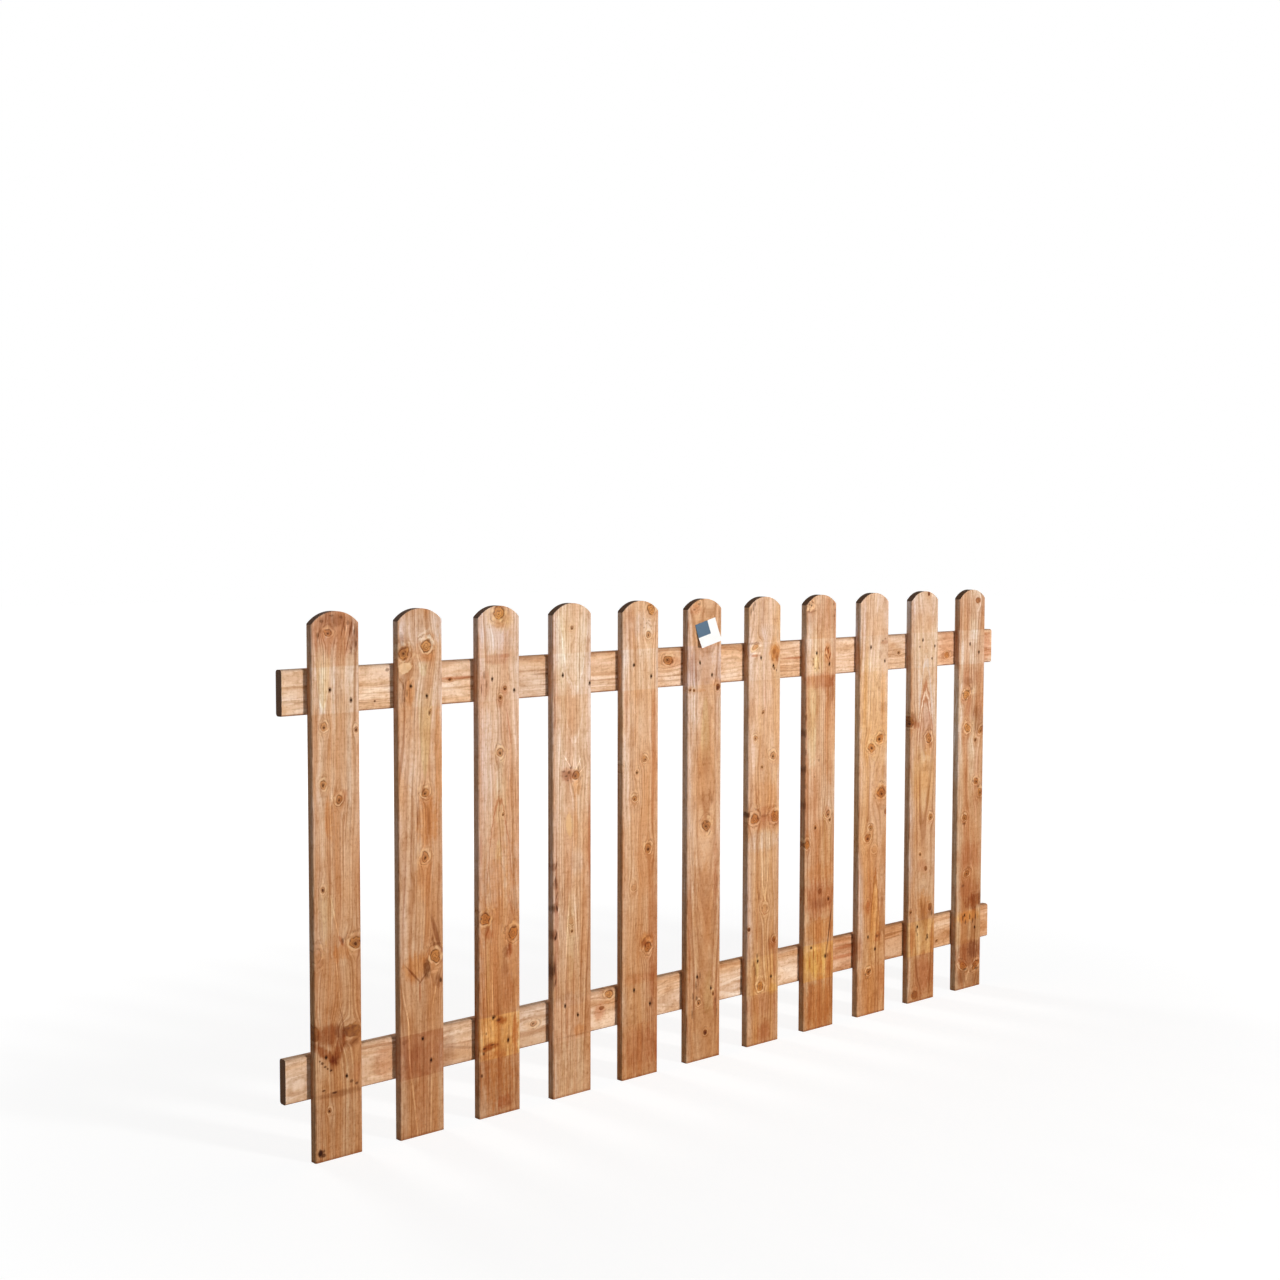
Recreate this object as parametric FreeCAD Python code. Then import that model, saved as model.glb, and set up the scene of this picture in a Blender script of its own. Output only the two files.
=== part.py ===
# Picket fence panel: round-topped pickets nailed across the front of two level rails.
#
# Every piece is a planed softwood board. The pickets have eased long edges, and are sawn square at the
# foot and to a flat arc at the crown. The rails are narrower and thicker, with rounder edges, and they
# run past the end pickets so that the panel can be fixed to posts.
#
# Frame, in millimetres: the origin is the middle of the bottom rail's back face, which lies against the
# posts. +X runs along the panel to the right as seen from the picket side, +Y points out of the back,
# and +Z is up.

import FreeCAD, Part
import os

# Driving dimensions

RAIL_LENGTH = 1830.0
RAIL_HEIGHT = 75.0
RAIL_THICKNESS = 18.0
RAIL_ARRIS_RADIUS = 5.0

PICKET_COUNT = 11
PICKET_HEIGHT = 900.0
PICKET_WIDTH = 90.0
PICKET_THICKNESS = 16.0
PICKET_ARRIS_RADIUS = 3.0

# How far the crown rises above the shoulders of a picket.
CROWN_RISE = 21.0
# How far each rail runs past the outer edge of the end picket.
RAIL_OVERHANG = 45.0
# From the picket feet up to the bottom rail's lower edge.
FOOT_TO_BOTTOM_RAIL = 102.0
# From the top rail's upper edge up to the crowns.
TOP_RAIL_TO_CROWN = 92.0

# How far a cutting solid runs past the wood that it cuts.
SAW_OVERRUN = 10.0

# Places worked out from the driving dimensions

RAIL_BACK_Y = 0.0
RAIL_MIDDLE_Y = RAIL_BACK_Y - RAIL_THICKNESS / 2
RAIL_FRONT_Y = RAIL_BACK_Y - RAIL_THICKNESS
PICKET_MIDDLE_Y = RAIL_FRONT_Y - PICKET_THICKNESS / 2

BOTTOM_RAIL_Z = 0.0
PICKET_FOOT_Z = BOTTOM_RAIL_Z - RAIL_HEIGHT / 2 - FOOT_TO_BOTTOM_RAIL
TOP_RAIL_Z = PICKET_FOOT_Z + PICKET_HEIGHT - TOP_RAIL_TO_CROWN - RAIL_HEIGHT / 2

FIRST_PICKET_X = -RAIL_LENGTH / 2 + RAIL_OVERHANG + PICKET_WIDTH / 2
PICKET_PITCH = -2 * FIRST_PICKET_X / (PICKET_COUNT - 1)

# The crown is an arc through both shoulders and the top of the picket.
SHOULDER_HEIGHT = PICKET_HEIGHT - CROWN_RISE
CROWN_RADIUS = ((PICKET_WIDTH / 2) ** 2 + CROWN_RISE ** 2) / (2 * CROWN_RISE)

ALONG_Y = FreeCAD.Vector(0, 1, 0)
ALONG_Z = FreeCAD.Vector(0, 0, 1)
QUARTER_TURN = 90.0
ANGLE_TOLERANCE = 1e-6

PARTS_FOLDER = "parts"


def board(length, width, thickness, arris_radius):
    """A planed board standing on the origin: width along X, thickness along Y, length along Z."""
    corner = FreeCAD.Vector(-width / 2, -thickness / 2, 0)
    blank = Part.makeBox(width, thickness, length, corner)
    long_edges = [edge for edge in blank.Edges if edge.Curve.Direction.isParallel(ALONG_Z, ANGLE_TOLERANCE)]
    return blank.makeFillet(arris_radius, long_edges)


def crown_waste():
    """What the saw takes off above the crown of a picket that stands on the origin."""
    block_width = PICKET_WIDTH + 2 * SAW_OVERRUN
    block_depth = PICKET_THICKNESS + 2 * SAW_OVERRUN
    block_height = CROWN_RISE + SAW_OVERRUN
    block_corner = FreeCAD.Vector(-block_width / 2, -block_depth / 2, SHOULDER_HEIGHT)
    block = Part.makeBox(block_width, block_depth, block_height, block_corner)
    arc_length = block_depth + 2 * SAW_OVERRUN
    arc_start = FreeCAD.Vector(0, -arc_length / 2, PICKET_HEIGHT - CROWN_RADIUS)
    kept_under_arc = Part.makeCylinder(CROWN_RADIUS, arc_length, arc_start, ALONG_Y)
    return block.cut(kept_under_arc)


def picket(centre_x):
    """One picket, its back face flat on the front of both rails."""
    blank = board(PICKET_HEIGHT, PICKET_WIDTH, PICKET_THICKNESS, PICKET_ARRIS_RADIUS)
    crowned = blank.cut(crown_waste()).Solids[0]
    crowned.translate(FreeCAD.Vector(centre_x, PICKET_MIDDLE_Y, PICKET_FOOT_Z))
    return crowned


def rail(centre_z):
    """One rail, level, along the whole panel."""
    lying = board(RAIL_LENGTH, RAIL_HEIGHT, RAIL_THICKNESS, RAIL_ARRIS_RADIUS)
    lying.rotate(FreeCAD.Vector(0, 0, 0), ALONG_Y, QUARTER_TURN)
    lying.translate(FreeCAD.Vector(-RAIL_LENGTH / 2, RAIL_MIDDLE_Y, centre_z))
    return lying


def save(shape, name):
    """Writes one piece to its own STEP file, named for the piece."""
    if not shape.isValid() or shape.Volume <= 0:
        raise ValueError(name + " is not a sound solid")
    shape.exportStep(os.path.join(PARTS_FOLDER, name + ".step"))
    box = shape.BoundBox
    print(f"{name}: {box.XLength:.1f} x {box.YLength:.1f} x {box.ZLength:.1f} mm, {shape.Volume:.0f} mm3")


def main():
    os.makedirs(PARTS_FOLDER, exist_ok=True)
    save(rail(BOTTOM_RAIL_Z), "bottom_rail")
    save(rail(TOP_RAIL_Z), "top_rail")
    for index in range(PICKET_COUNT):
        save(picket(FIRST_PICKET_X + index * PICKET_PITCH), f"picket_{index + 1:02d}")


main()
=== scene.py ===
import math
from collections import namedtuple

import bpy
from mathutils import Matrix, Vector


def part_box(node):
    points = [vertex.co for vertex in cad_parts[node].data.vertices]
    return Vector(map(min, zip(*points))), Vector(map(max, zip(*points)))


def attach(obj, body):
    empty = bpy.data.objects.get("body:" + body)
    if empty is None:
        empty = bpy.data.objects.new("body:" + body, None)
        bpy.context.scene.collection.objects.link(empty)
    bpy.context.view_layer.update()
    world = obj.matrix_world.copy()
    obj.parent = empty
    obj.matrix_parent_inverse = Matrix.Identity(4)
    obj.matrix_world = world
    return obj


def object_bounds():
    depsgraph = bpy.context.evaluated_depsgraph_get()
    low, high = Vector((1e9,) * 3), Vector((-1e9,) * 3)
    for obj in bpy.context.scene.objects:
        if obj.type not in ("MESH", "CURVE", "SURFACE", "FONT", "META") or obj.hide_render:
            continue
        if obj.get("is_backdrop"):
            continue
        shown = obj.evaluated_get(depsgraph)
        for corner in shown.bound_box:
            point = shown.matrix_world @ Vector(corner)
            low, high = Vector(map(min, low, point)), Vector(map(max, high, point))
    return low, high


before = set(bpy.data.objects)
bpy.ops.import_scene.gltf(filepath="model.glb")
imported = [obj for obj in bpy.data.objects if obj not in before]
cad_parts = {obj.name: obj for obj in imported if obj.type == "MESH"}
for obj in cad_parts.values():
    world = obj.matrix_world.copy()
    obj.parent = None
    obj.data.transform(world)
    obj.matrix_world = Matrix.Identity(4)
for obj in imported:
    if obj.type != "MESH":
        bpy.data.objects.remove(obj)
cad_low, cad_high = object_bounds()

MM = 0.001
BODY = "root"
BUMP_STRENGTH = 0.35

# Shader helpers


def card(red, green, blue):
    """A colour as a colour card gives it, 0 to 255, for a shader socket."""
    def linear(value):
        share = value / 255
        return share / 12.92 if share <= 0.04045 else ((share + 0.055) / 1.055) ** 2.4
    return (linear(red), linear(green), linear(blue), 1.0)


def wire(tree, socket, value):
    """Links a field to a node's input, or sets a plain value there."""
    if isinstance(value, Field):
        tree.links.new(value.source, socket)
    else:
        socket.default_value = value


def add_node(tree, kind, inputs=None, **settings):
    node = tree.nodes.new("ShaderNode" + kind)
    for name, value in settings.items():
        setattr(node, name, value)
    for key, value in (inputs or {}).items():
        wire(tree, node.inputs[key], value)
    return node


class Field:
    """Something that changes over the surface: a node's output, with sums that add more nodes."""

    def __init__(self, tree, source):
        self.tree = tree
        self.source = source

    def math(self, operation, *others, clamp=False):
        inputs = dict(enumerate((self, *others)))
        node = add_node(self.tree, "Math", inputs, operation=operation, use_clamp=clamp)
        return Field(self.tree, node.outputs[0])

    def __add__(self, other):
        return self.math("ADD", other)

    def __sub__(self, other):
        return self.math("SUBTRACT", other)

    def __mul__(self, other):
        return self.math("MULTIPLY", other)

    def __truediv__(self, other):
        return self.math("DIVIDE", other)

    def __abs__(self):
        return self.math("ABSOLUTE")

    def clamped(self):
        return self.math("ADD", 0.0, clamp=True)

    def most(self, other):
        return self.math("MAXIMUM", other)

    def squared(self):
        return self * self

    def ease(self, start, end):
        """Rises smoothly from 0 at start to 1 at end; start may be the larger."""
        inputs = {"Value": self, "From Min": start, "From Max": end}
        node = add_node(self.tree, "MapRange", inputs, interpolation_type="SMOOTHSTEP")
        return Field(self.tree, node.outputs["Result"])


def parts_of(vector):
    """The three numbers of a vector field."""
    node = add_node(vector.tree, "SeparateXYZ", {0: vector})
    return [Field(vector.tree, output) for output in node.outputs]


def vector_of(tree, *numbers):
    node = add_node(tree, "CombineXYZ", dict(enumerate(numbers)))
    return Field(tree, node.outputs[0])


def stretched(vector, *scale):
    node = add_node(vector.tree, "VectorMath", {0: vector, 1: scale}, operation="MULTIPLY")
    return Field(vector.tree, node.outputs[0])


def noise(vector, size=1.0, detail=2.0, roughness=0.5, colour=False):
    """Soft noise from 0 to 1 whose lumps are about size long; colour gives three numbers at once."""
    settings = {"Vector": vector, "Scale": 1 / size, "Detail": detail, "Roughness": roughness}
    node = add_node(vector.tree, "TexNoise", settings)
    return Field(vector.tree, node.outputs["Color" if colour else "Fac"])


def blend(factor, start, end, mode="MIX"):
    """Mixes two colours by a field."""
    # These are the numbers of the Mix node's colour sockets.
    inputs = {0: factor, 6: start, 7: end}
    node = add_node(factor.tree, "Mix", inputs, data_type="RGBA", blend_type=mode)
    return Field(factor.tree, node.outputs[2])


def tinted(factor, colour, tint):
    """Multiplies a colour by a tint, as far as the factor says."""
    return blend(factor, colour, tint, "MULTIPLY")


def new_group(name, inputs, outputs):
    """An empty shader node group with named sockets: its tree, its inputs as fields and its way out."""
    tree = bpy.data.node_groups.new(name, "ShaderNodeTree")
    for side, sockets in (("INPUT", inputs), ("OUTPUT", outputs)):
        for socket, kind in sockets.items():
            tree.interface.new_socket(socket, in_out=side, socket_type="NodeSocket" + kind)
    entry = tree.nodes.new("NodeGroupInput")
    leaving = tree.nodes.new("NodeGroupOutput")
    given = {socket: Field(tree, entry.outputs[socket]) for socket in inputs}
    return tree, given, leaving.inputs


def use_group(tree, group, inputs):
    """Places a group in a tree and gives its outputs as fields."""
    node = add_node(tree, "Group", inputs, node_tree=group)
    return {output.name: Field(tree, output) for output in node.outputs}


def floats(*names):
    return {name: "Float" for name in names}


def new_material(name):
    """An empty node material: itself and its tree."""
    material = bpy.data.materials.new(name)
    material.use_nodes = True
    material.node_tree.nodes.clear()
    return material, material.node_tree


def place_in_mm(tree, location=(0.0, 0.0, 0.0), rotation=(0.0, 0.0, 0.0)):
    """The place on a piece in millimetres, turned and moved to the piece's own middle."""
    coordinates = add_node(tree, "TexCoord")
    mapping = add_node(tree, "Mapping", {
        "Vector": Field(tree, coordinates.outputs["Object"]), "Location": location,
        "Rotation": rotation, "Scale": (1 / MM, 1 / MM, 1 / MM),
    })
    return Field(tree, mapping.outputs["Vector"])


def finish_shader(tree, colour, roughness, height, relief, specular):
    """Closes a material: its colour and roughness, with a height field that gives a little relief."""
    bump = add_node(tree, "Bump", {"Height": height, "Strength": BUMP_STRENGTH, "Distance": relief})
    shader = add_node(tree, "BsdfPrincipled", {
        "Base Color": colour, "Roughness": roughness, "Normal": Field(tree, bump.outputs["Normal"]),
        "Specular IOR Level": specular,
    })
    add_node(tree, "OutputMaterial", {"Surface": Field(tree, shader.outputs[0])})


# Wood: places on a board are in millimetres, x across it from its middle, y through it, z along it.

# Tints multiply the wood's own colour.
NO_TINT = (1.0, 1.0, 1.0, 1.0)
PINK = (1.02, 1.18, 1.46, 1.0)
BLEACHED = (1.14, 1.30, 1.50, 1.0)
CREAM = (1.38, 1.62, 1.85, 1.0)
STRAW = (1.04, 1.18, 1.12, 1.0)
YELLOW = (1.04, 1.02, 0.72, 1.0)
SHADE = (0.89, 0.90, 0.93, 1.0)
ORANGE = (0.92, 0.70, 0.46, 1.0)
RUST = (0.78, 0.54, 0.42, 1.0)
UMBER = (0.58, 0.44, 0.36, 1.0)
PITCH = (0.26, 0.19, 0.15, 1.0)
EMBER = (0.60, 0.36, 0.22, 1.0)
HONEY = (1.20, 1.0, 0.60, 1.0)

# The pale tints leave knots alone, which take up little of the dip and don't bleach.
PALE_TINTS = (PINK, BLEACHED, CREAM, STRAW)

PALE_BAND = (1.10, 1.24, 1.42, 1.0)
FAINT_BAND = (1.03, 1.10, 1.18, 1.0)
YELLOW_BAND = (1.16, 1.12, 0.80, 1.0)
RED_BAND = (0.80, 0.64, 0.58, 1.0)
FOOT_TINT = (0.74, 0.60, 0.44, 1.0)

GOLDEN = card(209, 158, 115)
PINKER = card(214, 168, 132)
YELLOWER = card(217, 170, 121)
REDDER = card(204, 148, 108)
PICKET_PALE = card(222, 185, 152)
PICKET_LATE = card(175, 118, 77)
RAIL_PALE = card(230, 193, 160)
RAIL_LATE = card(190, 136, 96)
KNOT_LIGHT = card(210, 144, 78)
KNOT_DARK = card(118, 58, 24)
KNOT_PALE = card(234, 194, 148)
COLLAR = card(238, 200, 152)
BARK = card(78, 36, 13)
SAWN_DARK = card(84, 56, 38)
SAWN_LIGHT = card(124, 84, 56)

WOOD_RELIEF = 0.6 * MM
WOOD_SPECULAR = 0.08

# Where the rails lay against a picket, from its foot, and how soft the edges are, in millimetres.
TOP_RAIL_BAND = (733.0, 811.5)
BOTTOM_RAIL_BAND = (101.0, 179.5)
BAND_EDGE = 2.5


def from_mark(given):
    """How far a place lies aside of a mark's leaning middle line, and how far above the mark."""
    x, _, z = parts_of(given["Place"])
    rise = z - given["Along"]
    return x - given["Across"] - given["Lean"] * rise, rise


def layered(colour, layers):
    """Tints a colour by layers: a pattern, where it starts and ends to show, how far, and the tint."""
    for pattern, start, end, share, tint in layers:
        colour = tinted(pattern.ease(start, end) * share, colour, tint)
    return colour


def grain_parting_group():
    """Pushes the grain aside round one knot, as a stream parts round a pile."""
    numbers = floats("Shift", "Across", "Along", "Half width", "Half height", "Lean")
    tree, given, leaving = new_group("grain parting", {"Place": "Vector", **numbers}, floats("Shift"))
    aside, rise = from_mark(given)
    off = aside / given["Half width"]
    up = rise / (given["Half height"] * 2.2)
    near = (off.squared() * 0.6 + up.squared()).most(1.0)
    wire(tree, leaving["Shift"], given["Shift"] - aside * 0.9 / near)
    return tree


def trunk_rings_group():
    """Counts the year rings of the trunk that a board was sawn from."""
    numbers = floats("Shift", "Pith across", "Pith behind", "Ring width", "Taper", "Wander", "Seed")
    tree, given, leaving = new_group("trunk rings", {"Place": "Vector", **numbers}, floats("Growth"))
    x, y, z = parts_of(given["Place"])
    moved = vector_of(tree, x, y, z + given["Seed"] * 1000.0)
    slow = parts_of(noise(stretched(moved, 1.0, 1.0, 0.16), 70.0, 1.0, colour=True))
    across = x + given["Shift"] - given["Pith across"] + (slow[0] - 0.5) * given["Wander"]
    behind = y - given["Pith behind"] + (slow[1] - 0.5) * given["Wander"]
    radius = (across.squared() + behind.squared()).math("SQRT")
    ripple = (noise(stretched(moved, 1.0, 1.0, 0.10), 8.0, 1.0) - 0.5) * 0.8
    wire(tree, leaving["Growth"], (radius + ripple) / given["Ring width"] + z * given["Taper"])
    return tree


KNOT_FIELDS = floats("Heart", "Tone", "Halo", "Aura", "Core")


def knot_group():
    """Adds one knot: its ringed heart, pale collar, bark line, dark core and the warmer wood about it."""
    inputs = {"Place": "Vector", "Swirl": "Vector", **floats("Ragged"), **KNOT_FIELDS}
    inputs.update(floats("Across", "Along", "Half width", "Half height", "Lean"))
    inputs.update(floats("Fill", "Darkness", "Collar", "Bark", "Core size"))
    tree, given, leaving = new_group("knot", inputs, KNOT_FIELDS)
    aside, rise = from_mark(given)
    sway, worn, lift = parts_of(given["Swirl"])
    ragged = given["Ragged"]
    off = aside / given["Half width"] + (sway - 0.5) * 0.9
    up = rise / given["Half height"] + (lift - 0.5) * 0.9
    round_reach = (off.squared() + up.squared()).math("SQRT")
    # The rings crowd together on the side towards the foot.
    crowded = up - round_reach * 0.28
    reach = (off.squared() + crowded.squared()).math("SQRT") * (ragged * 0.6 + 1.0)
    heart = (reach * -5.0 + 5.6).clamped()
    collar = ((abs(reach - 1.36) * -2.6) + 1.0).clamped() * (worn * 6.0 - 2.3).clamped()
    outer_collar = ((abs(reach - 2.2) * -3.0) + 1.0).clamped() * (lift * 6.0 - 2.8).clamped() * 0.55
    broken = (ragged * 7.0 + 0.6).clamped()
    bark = ((abs(reach - 1.0) * -5.0) + 1.0).clamped() * broken
    outer_bark = ((abs(reach - 1.78) * -4.5) + 1.0).clamped() * (sway * 6.0 - 2.6).clamped() * 0.5
    core = ((given["Core size"] - reach * (ragged * 1.4 + 1.0)) * 5.0).clamped()
    wave = abs((reach * 2.2 + ragged * 0.8).math("FRACT") - 0.5) * 2.0
    tone = given["Darkness"] + wave.ease(0.45, 1.0) * given["Collar"] * 0.7 + ragged * 1.2
    wire(tree, leaving["Heart"], given["Heart"].most(heart * given["Fill"]))
    wire(tree, leaving["Tone"], given["Tone"] + heart * (tone - given["Tone"]))
    wire(tree, leaving["Halo"], given["Halo"].most(collar.most(outer_collar) * given["Collar"]))
    wire(tree, leaving["Aura"], given["Aura"].most(round_reach.ease(3.4, 0.9) * given["Bark"]))
    wire(tree, leaving["Core"], given["Core"].most(core.most(bark.most(outer_bark) * given["Bark"])))
    return tree


def speck_group():
    """Adds one small dark mark: a nail's bruise, a pitch speck, or painted shade in a chip."""
    numbers = floats("Ragged", "Core", "Across", "Along", "Half width", "Half height", "Strength")
    tree, given, leaving = new_group("speck", {"Place": "Vector", **numbers}, floats("Core"))
    x, _, z = parts_of(given["Place"])
    off = (x - given["Across"]) / given["Half width"]
    up = (z - given["Along"]) / given["Half height"]
    reach = (off.squared() + up.squared()).math("SQRT") * (given["Ragged"] * 1.1 + 1.0)
    mark = (reach * -1.8 + 2.0).clamped() * given["Strength"]
    wire(tree, leaving["Core"], given["Core"].most(mark))
    return tree


def softwood_group():
    """Colours planed softwood from its ring count: streaks and rings that follow the grain, and knots."""
    inputs = {"Place": "Vector", **KNOT_FIELDS, "Pale": "Color", "Golden": "Color", "Late wood": "Color"}
    inputs.update(floats("Growth", "Ring strength", "Seed"))
    outputs = {"Colour": "Color", **floats("Height", "Roughness")}
    tree, given, leaving = new_group("softwood", inputs, outputs)
    x, y, z = parts_of(given["Place"])
    growth, heart, tone = given["Growth"], given["Heart"], given["Tone"]
    seed = given["Seed"] * 31.0
    year = growth.math("FRACT")
    late = year.ease(0.40, 0.92) * year.ease(1.0, 0.95)
    streaks = noise(vector_of(tree, growth * 0.30 + seed, z / 620.0, seed), 1.0, 2.0)
    lines = noise(vector_of(tree, growth * 1.4 + seed, z / 260.0, seed + 4.0), 1.0, 1.0)
    broad = noise(vector_of(tree, growth * 0.11 + seed, z / 500.0, seed + 9.0), 1.0, 1.0)
    hairs = noise(vector_of(tree, growth * 2.2 + seed, z / 320.0, seed + 2.0), 1.0, 1.0)
    fibres = noise(vector_of(tree, growth * 2.6, z / 24.0, y * 0.6 + seed), 1.0, 2.0, 0.6)
    flecks = noise(vector_of(tree, x / 4.2, y / 4.2 + seed, z / 6.5), 1.0, 2.0, 0.6)
    mottle = noise(vector_of(tree, x / 17.0, y / 17.0 + seed, z / 40.0), 1.0, 3.0)
    drift = noise(vector_of(tree, x / 60.0, y / 60.0 + seed, z / 170.0), 1.0, 1.0)
    # Faint ripples that the planer left across the board.
    ripples = noise(vector_of(tree, x / 46.0, seed, z / 3.4), 1.0, 1.0)
    base = blend(streaks.ease(0.34, 0.66), given["Pale"], given["Golden"])
    base = layered(base, (
        (drift, 0.50, 0.64, 0.60, (0.96, 0.85, 0.70, 1.0)),
        (drift, 0.50, 0.36, 0.60, (1.03, 1.09, 1.17, 1.0)),
        (lines, 0.51, 0.66, 0.50, (0.74, 0.60, 0.46, 1.0)),
        (lines, 0.47, 0.33, 0.45, (1.14, 1.26, 1.42, 1.0)),
    ))
    ring_share = late * (broad.ease(0.3, 0.7) * 0.6 + 0.4) * given["Ring strength"]
    base = blend(ring_share * 0.75, base, given["Late wood"])
    base = layered(base, (
        (hairs, 0.56, 0.66, 0.75, (0.72, 0.58, 0.46, 1.0)),
        (hairs, 0.42, 0.32, 0.60, (1.12, 1.20, 1.30, 1.0)),
        (mottle, 0.51, 0.65, 0.50, (0.82, 0.69, 0.55, 1.0)),
        (mottle, 0.48, 0.35, 0.45, (1.08, 1.17, 1.28, 1.0)),
        (fibres, 0.46, 0.34, 0.65, (0.76, 0.66, 0.56, 1.0)),
        (fibres, 0.54, 0.66, 0.50, (1.08, 1.13, 1.18, 1.0)),
        (flecks, 0.54, 0.68, 0.60, (0.78, 0.66, 0.54, 1.0)),
        (flecks, 0.46, 0.32, 0.50, (1.12, 1.18, 1.24, 1.0)),
        (ripples, 0.50, 0.66, 0.25, (0.86, 0.78, 0.70, 1.0)),
        (ripples, 0.50, 0.34, 0.25, (1.08, 1.12, 1.16, 1.0)),
    ))
    base = tinted(given["Aura"] * 0.65, base, (0.90, 0.70, 0.50, 1.0))
    knot_colour = blend(tone.clamped(), KNOT_LIGHT, KNOT_DARK)
    knot_colour = blend((tone * -1.0).clamped(), knot_colour, KNOT_PALE)
    colour = blend(heart * 0.95, base, knot_colour)
    colour = blend(given["Halo"] * 0.72, colour, COLLAR)
    colour = blend(given["Core"] * 0.88, colour, BARK)
    wire(tree, leaving["Colour"], colour)
    wire(tree, leaving["Height"], late * 0.35 + fibres * 0.55)
    wire(tree, leaving["Roughness"], fibres * 0.16 + 0.62 - heart * 0.10)
    return tree


def stain_group():
    """Tints one ragged patch or streak of a board, feathered along the grain; a few patches are painted
    shade.
    """
    inputs = {"Place": "Vector", "Feather": "Float", "Colour": "Color", "Tint": "Color"}
    inputs.update(floats("Across", "Along", "Half width", "Half height", "Lean", "Strength", "Resist"))
    tree, given, leaving = new_group("stain", inputs, {"Colour": "Color"})
    aside, rise = from_mark(given)
    off = aside / given["Half width"]
    up = rise / given["Half height"]
    # A thin streak keeps a cleaner edge than a wide patch.
    raggedness = (given["Half width"] * 0.11).clamped() * 2.2
    reach = off.squared() + up.squared() + given["Feather"] * raggedness
    patch = reach.ease(1.4, 0.1) * given["Strength"] * (given["Resist"] * -0.9 + 1.0)
    wire(tree, leaving["Colour"], tinted(patch, given["Colour"], given["Tint"]))
    return tree


def flame_group():
    """Tints the pointed flame where the saw ran out of a year ring, with a line along its rim."""
    inputs = {"Place": "Vector", "Feather": "Float", "Colour": "Color", "Tint": "Color", "Rim": "Color"}
    inputs.update(floats("Across", "Tip", "Length", "Half width", "Strength", "Rim width"))
    tree, given, leaving = new_group("flame", inputs, {"Colour": "Color"})
    x, _, z = parts_of(given["Place"])
    share = (z - given["Tip"]) / given["Length"]
    off = (x - given["Across"]) / given["Half width"]
    edge = off.squared() - share + given["Feather"] * 0.22
    fade = share.ease(1.0, 0.5) * given["Strength"]
    colour = tinted(edge.ease(0.05, -0.08) * fade, given["Colour"], given["Tint"])
    rim = abs(edge / given["Rim width"]).ease(1.0, 0.2) * fade
    wire(tree, leaving["Colour"], tinted(rim, colour, given["Rim"]))
    return tree


def picket_dip_and_shade_group():
    """Colours a picket as the dip did, deeper towards the foot, with bands where the rails lay; adds painted
    shade and light.
    """
    inputs = {"Place": "Vector", "Colour": "Color", "Upper band": "Color", "Lower band": "Color"}
    inputs.update(floats("Seed", "Collars", "Knots"))
    tree, given, leaving = new_group("picket dip and shade", inputs, {"Colour": "Color"})
    x, y, z = parts_of(given["Place"])
    seed = given["Seed"]
    # Deeper towards the foot, partly from the dip and partly painted shade for light that falls off
    # downwards.
    soaked_and_shaded = z.ease(760.0, 0.0) * (given["Collars"] * -0.75 + 1.0)
    clear = given["Knots"] * -0.9 + 1.0
    wavy = z + (noise(vector_of(tree, x / 5.0, seed * 7.0, z / 5.0)) - 0.5) * 2.4
    on_front = y.ease(-3.0, -6.5)
    by_top_rail, by_bottom_rail = (
        wavy.ease(start, start + BAND_EDGE) * wavy.ease(end, end - BAND_EDGE)
        for start, end in (TOP_RAIL_BAND, BOTTOM_RAIL_BAND)
    )
    upper = by_top_rail * on_front
    lower = by_bottom_rail * on_front
    patchy = noise(vector_of(tree, x / 16.0, seed * 5.0, z / 22.0)).ease(0.25, 0.6) * 0.45 + 0.55
    bleached = noise(vector_of(tree, x / 30.0, seed * 3.0, z / 160.0)).ease(0.30, 0.62) * clear
    colour = tinted(soaked_and_shaded, given["Colour"], FOOT_TINT)
    # Paler towards the crown, partly the wood's own tone and partly painted light.
    colour = tinted(z.ease(640.0, 860.0) * clear, colour, (1.0, 1.05, 1.12, 1.0))
    colour = tinted(x.ease(-24.0, -40.0) * bleached * 0.8, colour, (1.04, 1.16, 1.42, 1.0))
    colour = tinted(x.ease(30.0, 43.0) * bleached * 0.5, colour, (1.02, 1.12, 1.36, 1.0))
    colour = tinted(upper * patchy * clear, colour, given["Upper band"])
    colour = tinted(lower * patchy, colour, given["Lower band"])
    # Low down the dip dried in blotches.
    low_down = z.ease(260.0, 150.0)
    blotches = noise(vector_of(tree, x / 9.0, seed * 11.0, z / 13.0), 1.0, 2.0)
    colour = tinted(blotches.ease(0.50, 0.66) * low_down * 0.45, colour, (0.84, 0.75, 0.66, 1.0))
    colour = tinted(blotches.ease(0.50, 0.34) * low_down * 0.45, colour, (1.10, 1.15, 1.18, 1.0))
    # Painted shade: a picket's sides are darkened towards its back in the corners it makes with the rails.
    corner = by_top_rail.most(by_bottom_rail) * abs(x).ease(43.4, 44.8) * y.ease(-4.0, 6.0)
    colour = tinted(corner * 0.8, colour, UMBER)
    # Painted shade: a dark line along the foot.
    colour = tinted(wavy.ease(6.0, 1.0) * 0.7, colour, UMBER)
    wire(tree, leaving["Colour"], colour)
    return tree


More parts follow.
